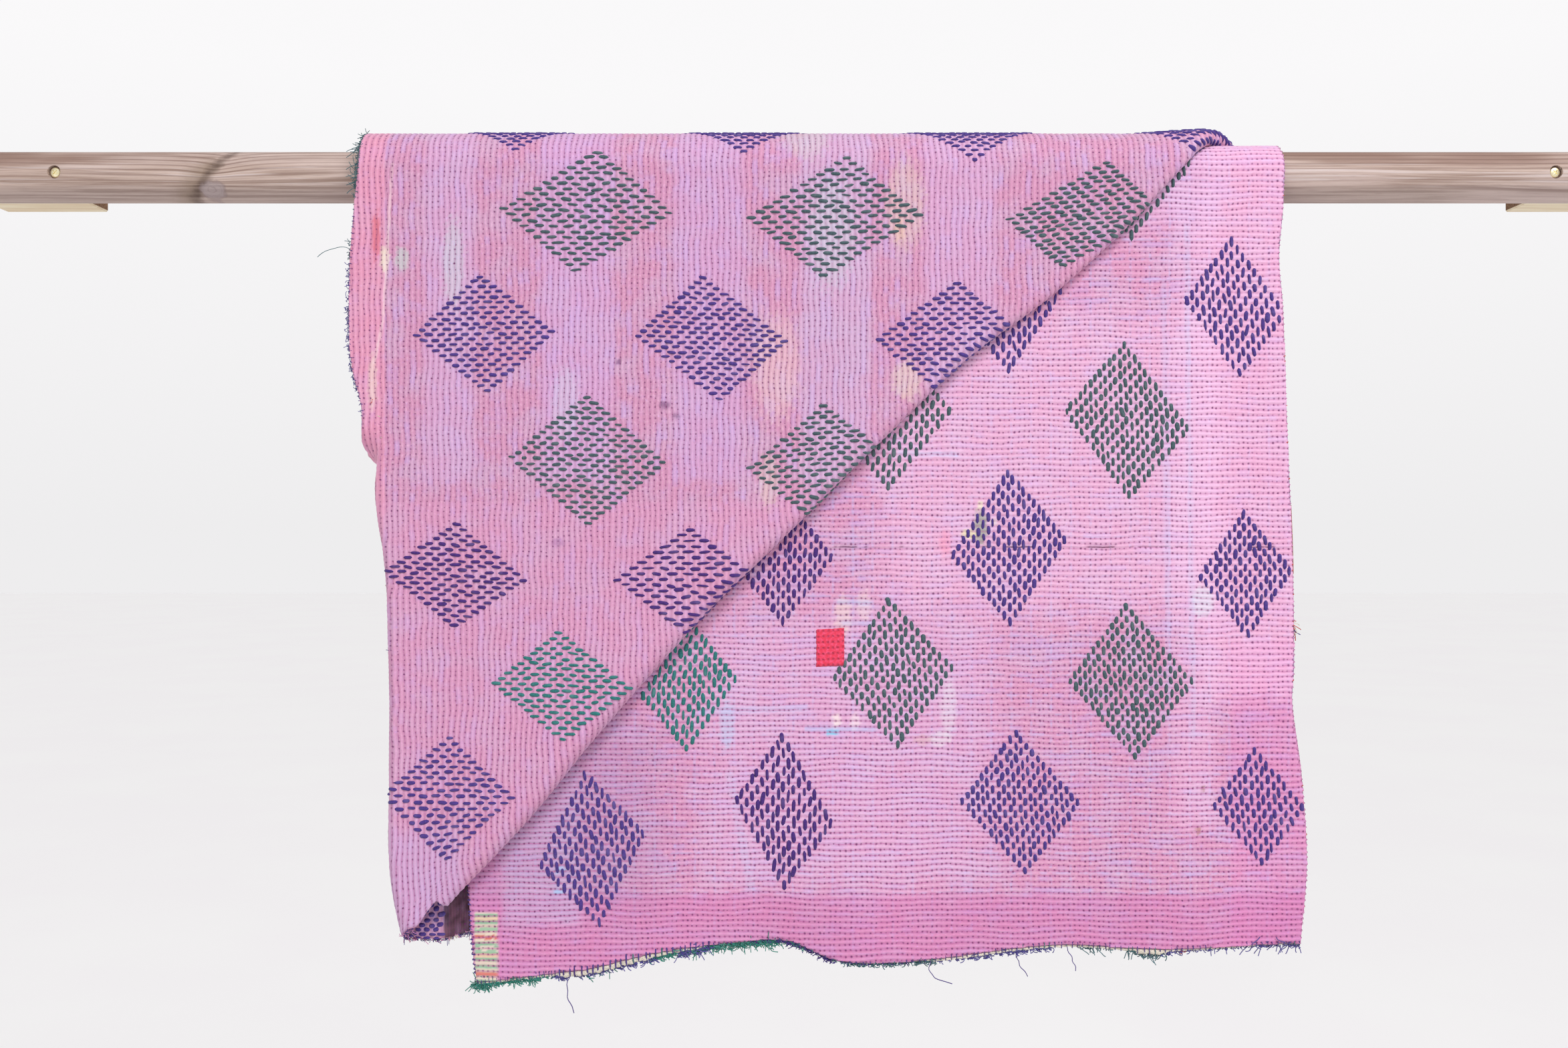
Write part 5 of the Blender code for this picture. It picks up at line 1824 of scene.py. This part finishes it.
class KanthaEnds(Operator):
    """Whip the edges and let the loose threads hang."""

    bl_idname = "kantha.ends"
    bl_label = "Whipped and Frayed Ends"

    def execute(self, context):
        sizes, colours = settings(context)
        materials, slots = threads(colours)
        whipping, edge_roll, inner = make_inner_ends(sizes, materials, slots)
        over, flap = make_flap_ends(sizes, materials, slots)
        onto_body([whipping, edge_roll, inner, over, flap])
        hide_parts("frayed_end_inner")
        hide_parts("frayed_end_flap")
        return {"FINISHED"}


class KanthaPatch(Operator):
    """Sew the red patch on."""

    bl_idname = "kantha.patch"
    bl_label = "Sewn-on Patch"

    def execute(self, context):
        sizes, colours = settings(context)
        made = make_patch(sizes, [patch_cotton(colours)])
        onto_body([made])
        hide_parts("sewn_patch")
        return {"FINISHED"}


class KanthaRail(Operator):
    """Give the rail, its wall blocks and screws their wood and brass."""

    bl_idname = "kantha.rail"
    bl_label = "Rail Finishes"

    def execute(self, context):
        _, colours = settings(context)
        wood, pine, brass = (weathered_softwood(colours), planed_pine(colours),
                             turned_brass(colours))
        for name, material in (("rail", wood), ("wall_block_left", pine),
                               ("wall_block_right", pine), ("screw_left", brass),
                               ("screw_right", brass)):
            node = bpy.data.objects.get(name)
            if node is None:
                raise RuntimeError(f"{name} is not in the frame")
            for place in node.material_slots:
                place.material = material
        return {"FINISHED"}


class KanthaStage(Operator):
    """Lay the floor, set the soft light and aim the camera."""

    bl_idname = "kantha.stage"
    bl_label = "Floor, Light and Camera"

    def execute(self, context):
        scene = context.scene
        bpy.ops.mesh.primitive_plane_add(size=FLOOR_SIZE, location=(0.8, 0, FLOOR_LEVEL))
        floor = context.object
        floor.name = "floor"
        floor.data.materials.append(limewashed_floor())
        for name, kind, spot, aim, spread, power in LAMPS:
            lamp = bpy.data.lights.new(name, kind)
            if kind == "SUN":
                lamp.angle = spread
            else:
                lamp.shape = "DISK"
                lamp.size = spread
            lamp.energy = power
            stand = bpy.data.objects.new(name, lamp)
            stand.location = spot
            way = Vector(aim) - Vector(spot)
            stand.rotation_euler = way.to_track_quat("-Z", "Y").to_euler()
            scene.collection.objects.link(stand)
        world = bpy.data.worlds.new("Soft daylight")
        world.use_nodes = True
        world.node_tree.nodes.clear()
        node = partial(add, world.node_tree)
        # a little darker at the horizon, so that the floor runs into it without an edge
        up = node("SeparateXYZ", node("TexCoord")).outputs[2]
        glow = node("MapRange", up, 0.0, 0.3, HORIZON, SKY)
        # the studio's walls are lit more than they light, which keeps soft shadows in the folds
        level = node("Mix", node("LightPath"), AMBIENT, glow)
        node("OutputWorld", node("Background", "#FDFCFD", level))
        scene.world = world
        scene.view_settings.view_transform = "Standard"  # hex colours show as they are given
        lens = bpy.data.cameras.new("camera")
        lens.lens = CAMERA_LENS
        lens.sensor_width = SENSOR_WIDTH
        lens.clip_end = 100
        camera = bpy.data.objects.new("camera", lens)
        camera.location = CAMERA_PLACE
        camera.rotation_euler = (math.pi / 2, 0, 0)
        scene.collection.objects.link(camera)
        scene.camera = camera
        return {"FINISHED"}


BUILDERS = (KanthaLining, KanthaTop, KanthaStitches, KanthaEnds, KanthaPatch, KanthaRail,
            KanthaStage)


class KanthaPanel(Panel):
    """Sidebar list of the quilt's settings and of what builds it."""

    bl_idname = "VIEW3D_PT_kantha"
    bl_label = "Kantha Quilt"
    bl_space_type = "VIEW_3D"
    bl_region_type = "UI"
    bl_category = "Kantha"

    def draw(self, context):
        for group in settings(context):
            box = self.layout.box()
            for name in group.__annotations__:
                box.prop(group, name)
        for builder in BUILDERS:
            self.layout.operator(builder.bl_idname)


CLASSES = (KanthaSizes, KanthaColours, *BUILDERS, KanthaPanel)


def register():
    for kind in CLASSES:
        bpy.utils.register_class(kind)
    bpy.types.Scene.kantha_sizes = PointerProperty(type=KanthaSizes)
    bpy.types.Scene.kantha_colours = PointerProperty(type=KanthaColours)


def unregister():
    del bpy.types.Scene.kantha_colours
    del bpy.types.Scene.kantha_sizes
    for kind in reversed(CLASSES):
        bpy.utils.unregister_class(kind)


def main():
    register()
    bpy.ops.kantha.lining()
    bpy.ops.kantha.top()
    bpy.ops.kantha.stitches()
    bpy.ops.kantha.ends()
    bpy.ops.kantha.patch()
    bpy.ops.kantha.rail()
    bpy.ops.kantha.stage()


if __name__ == "__main__":
    main()
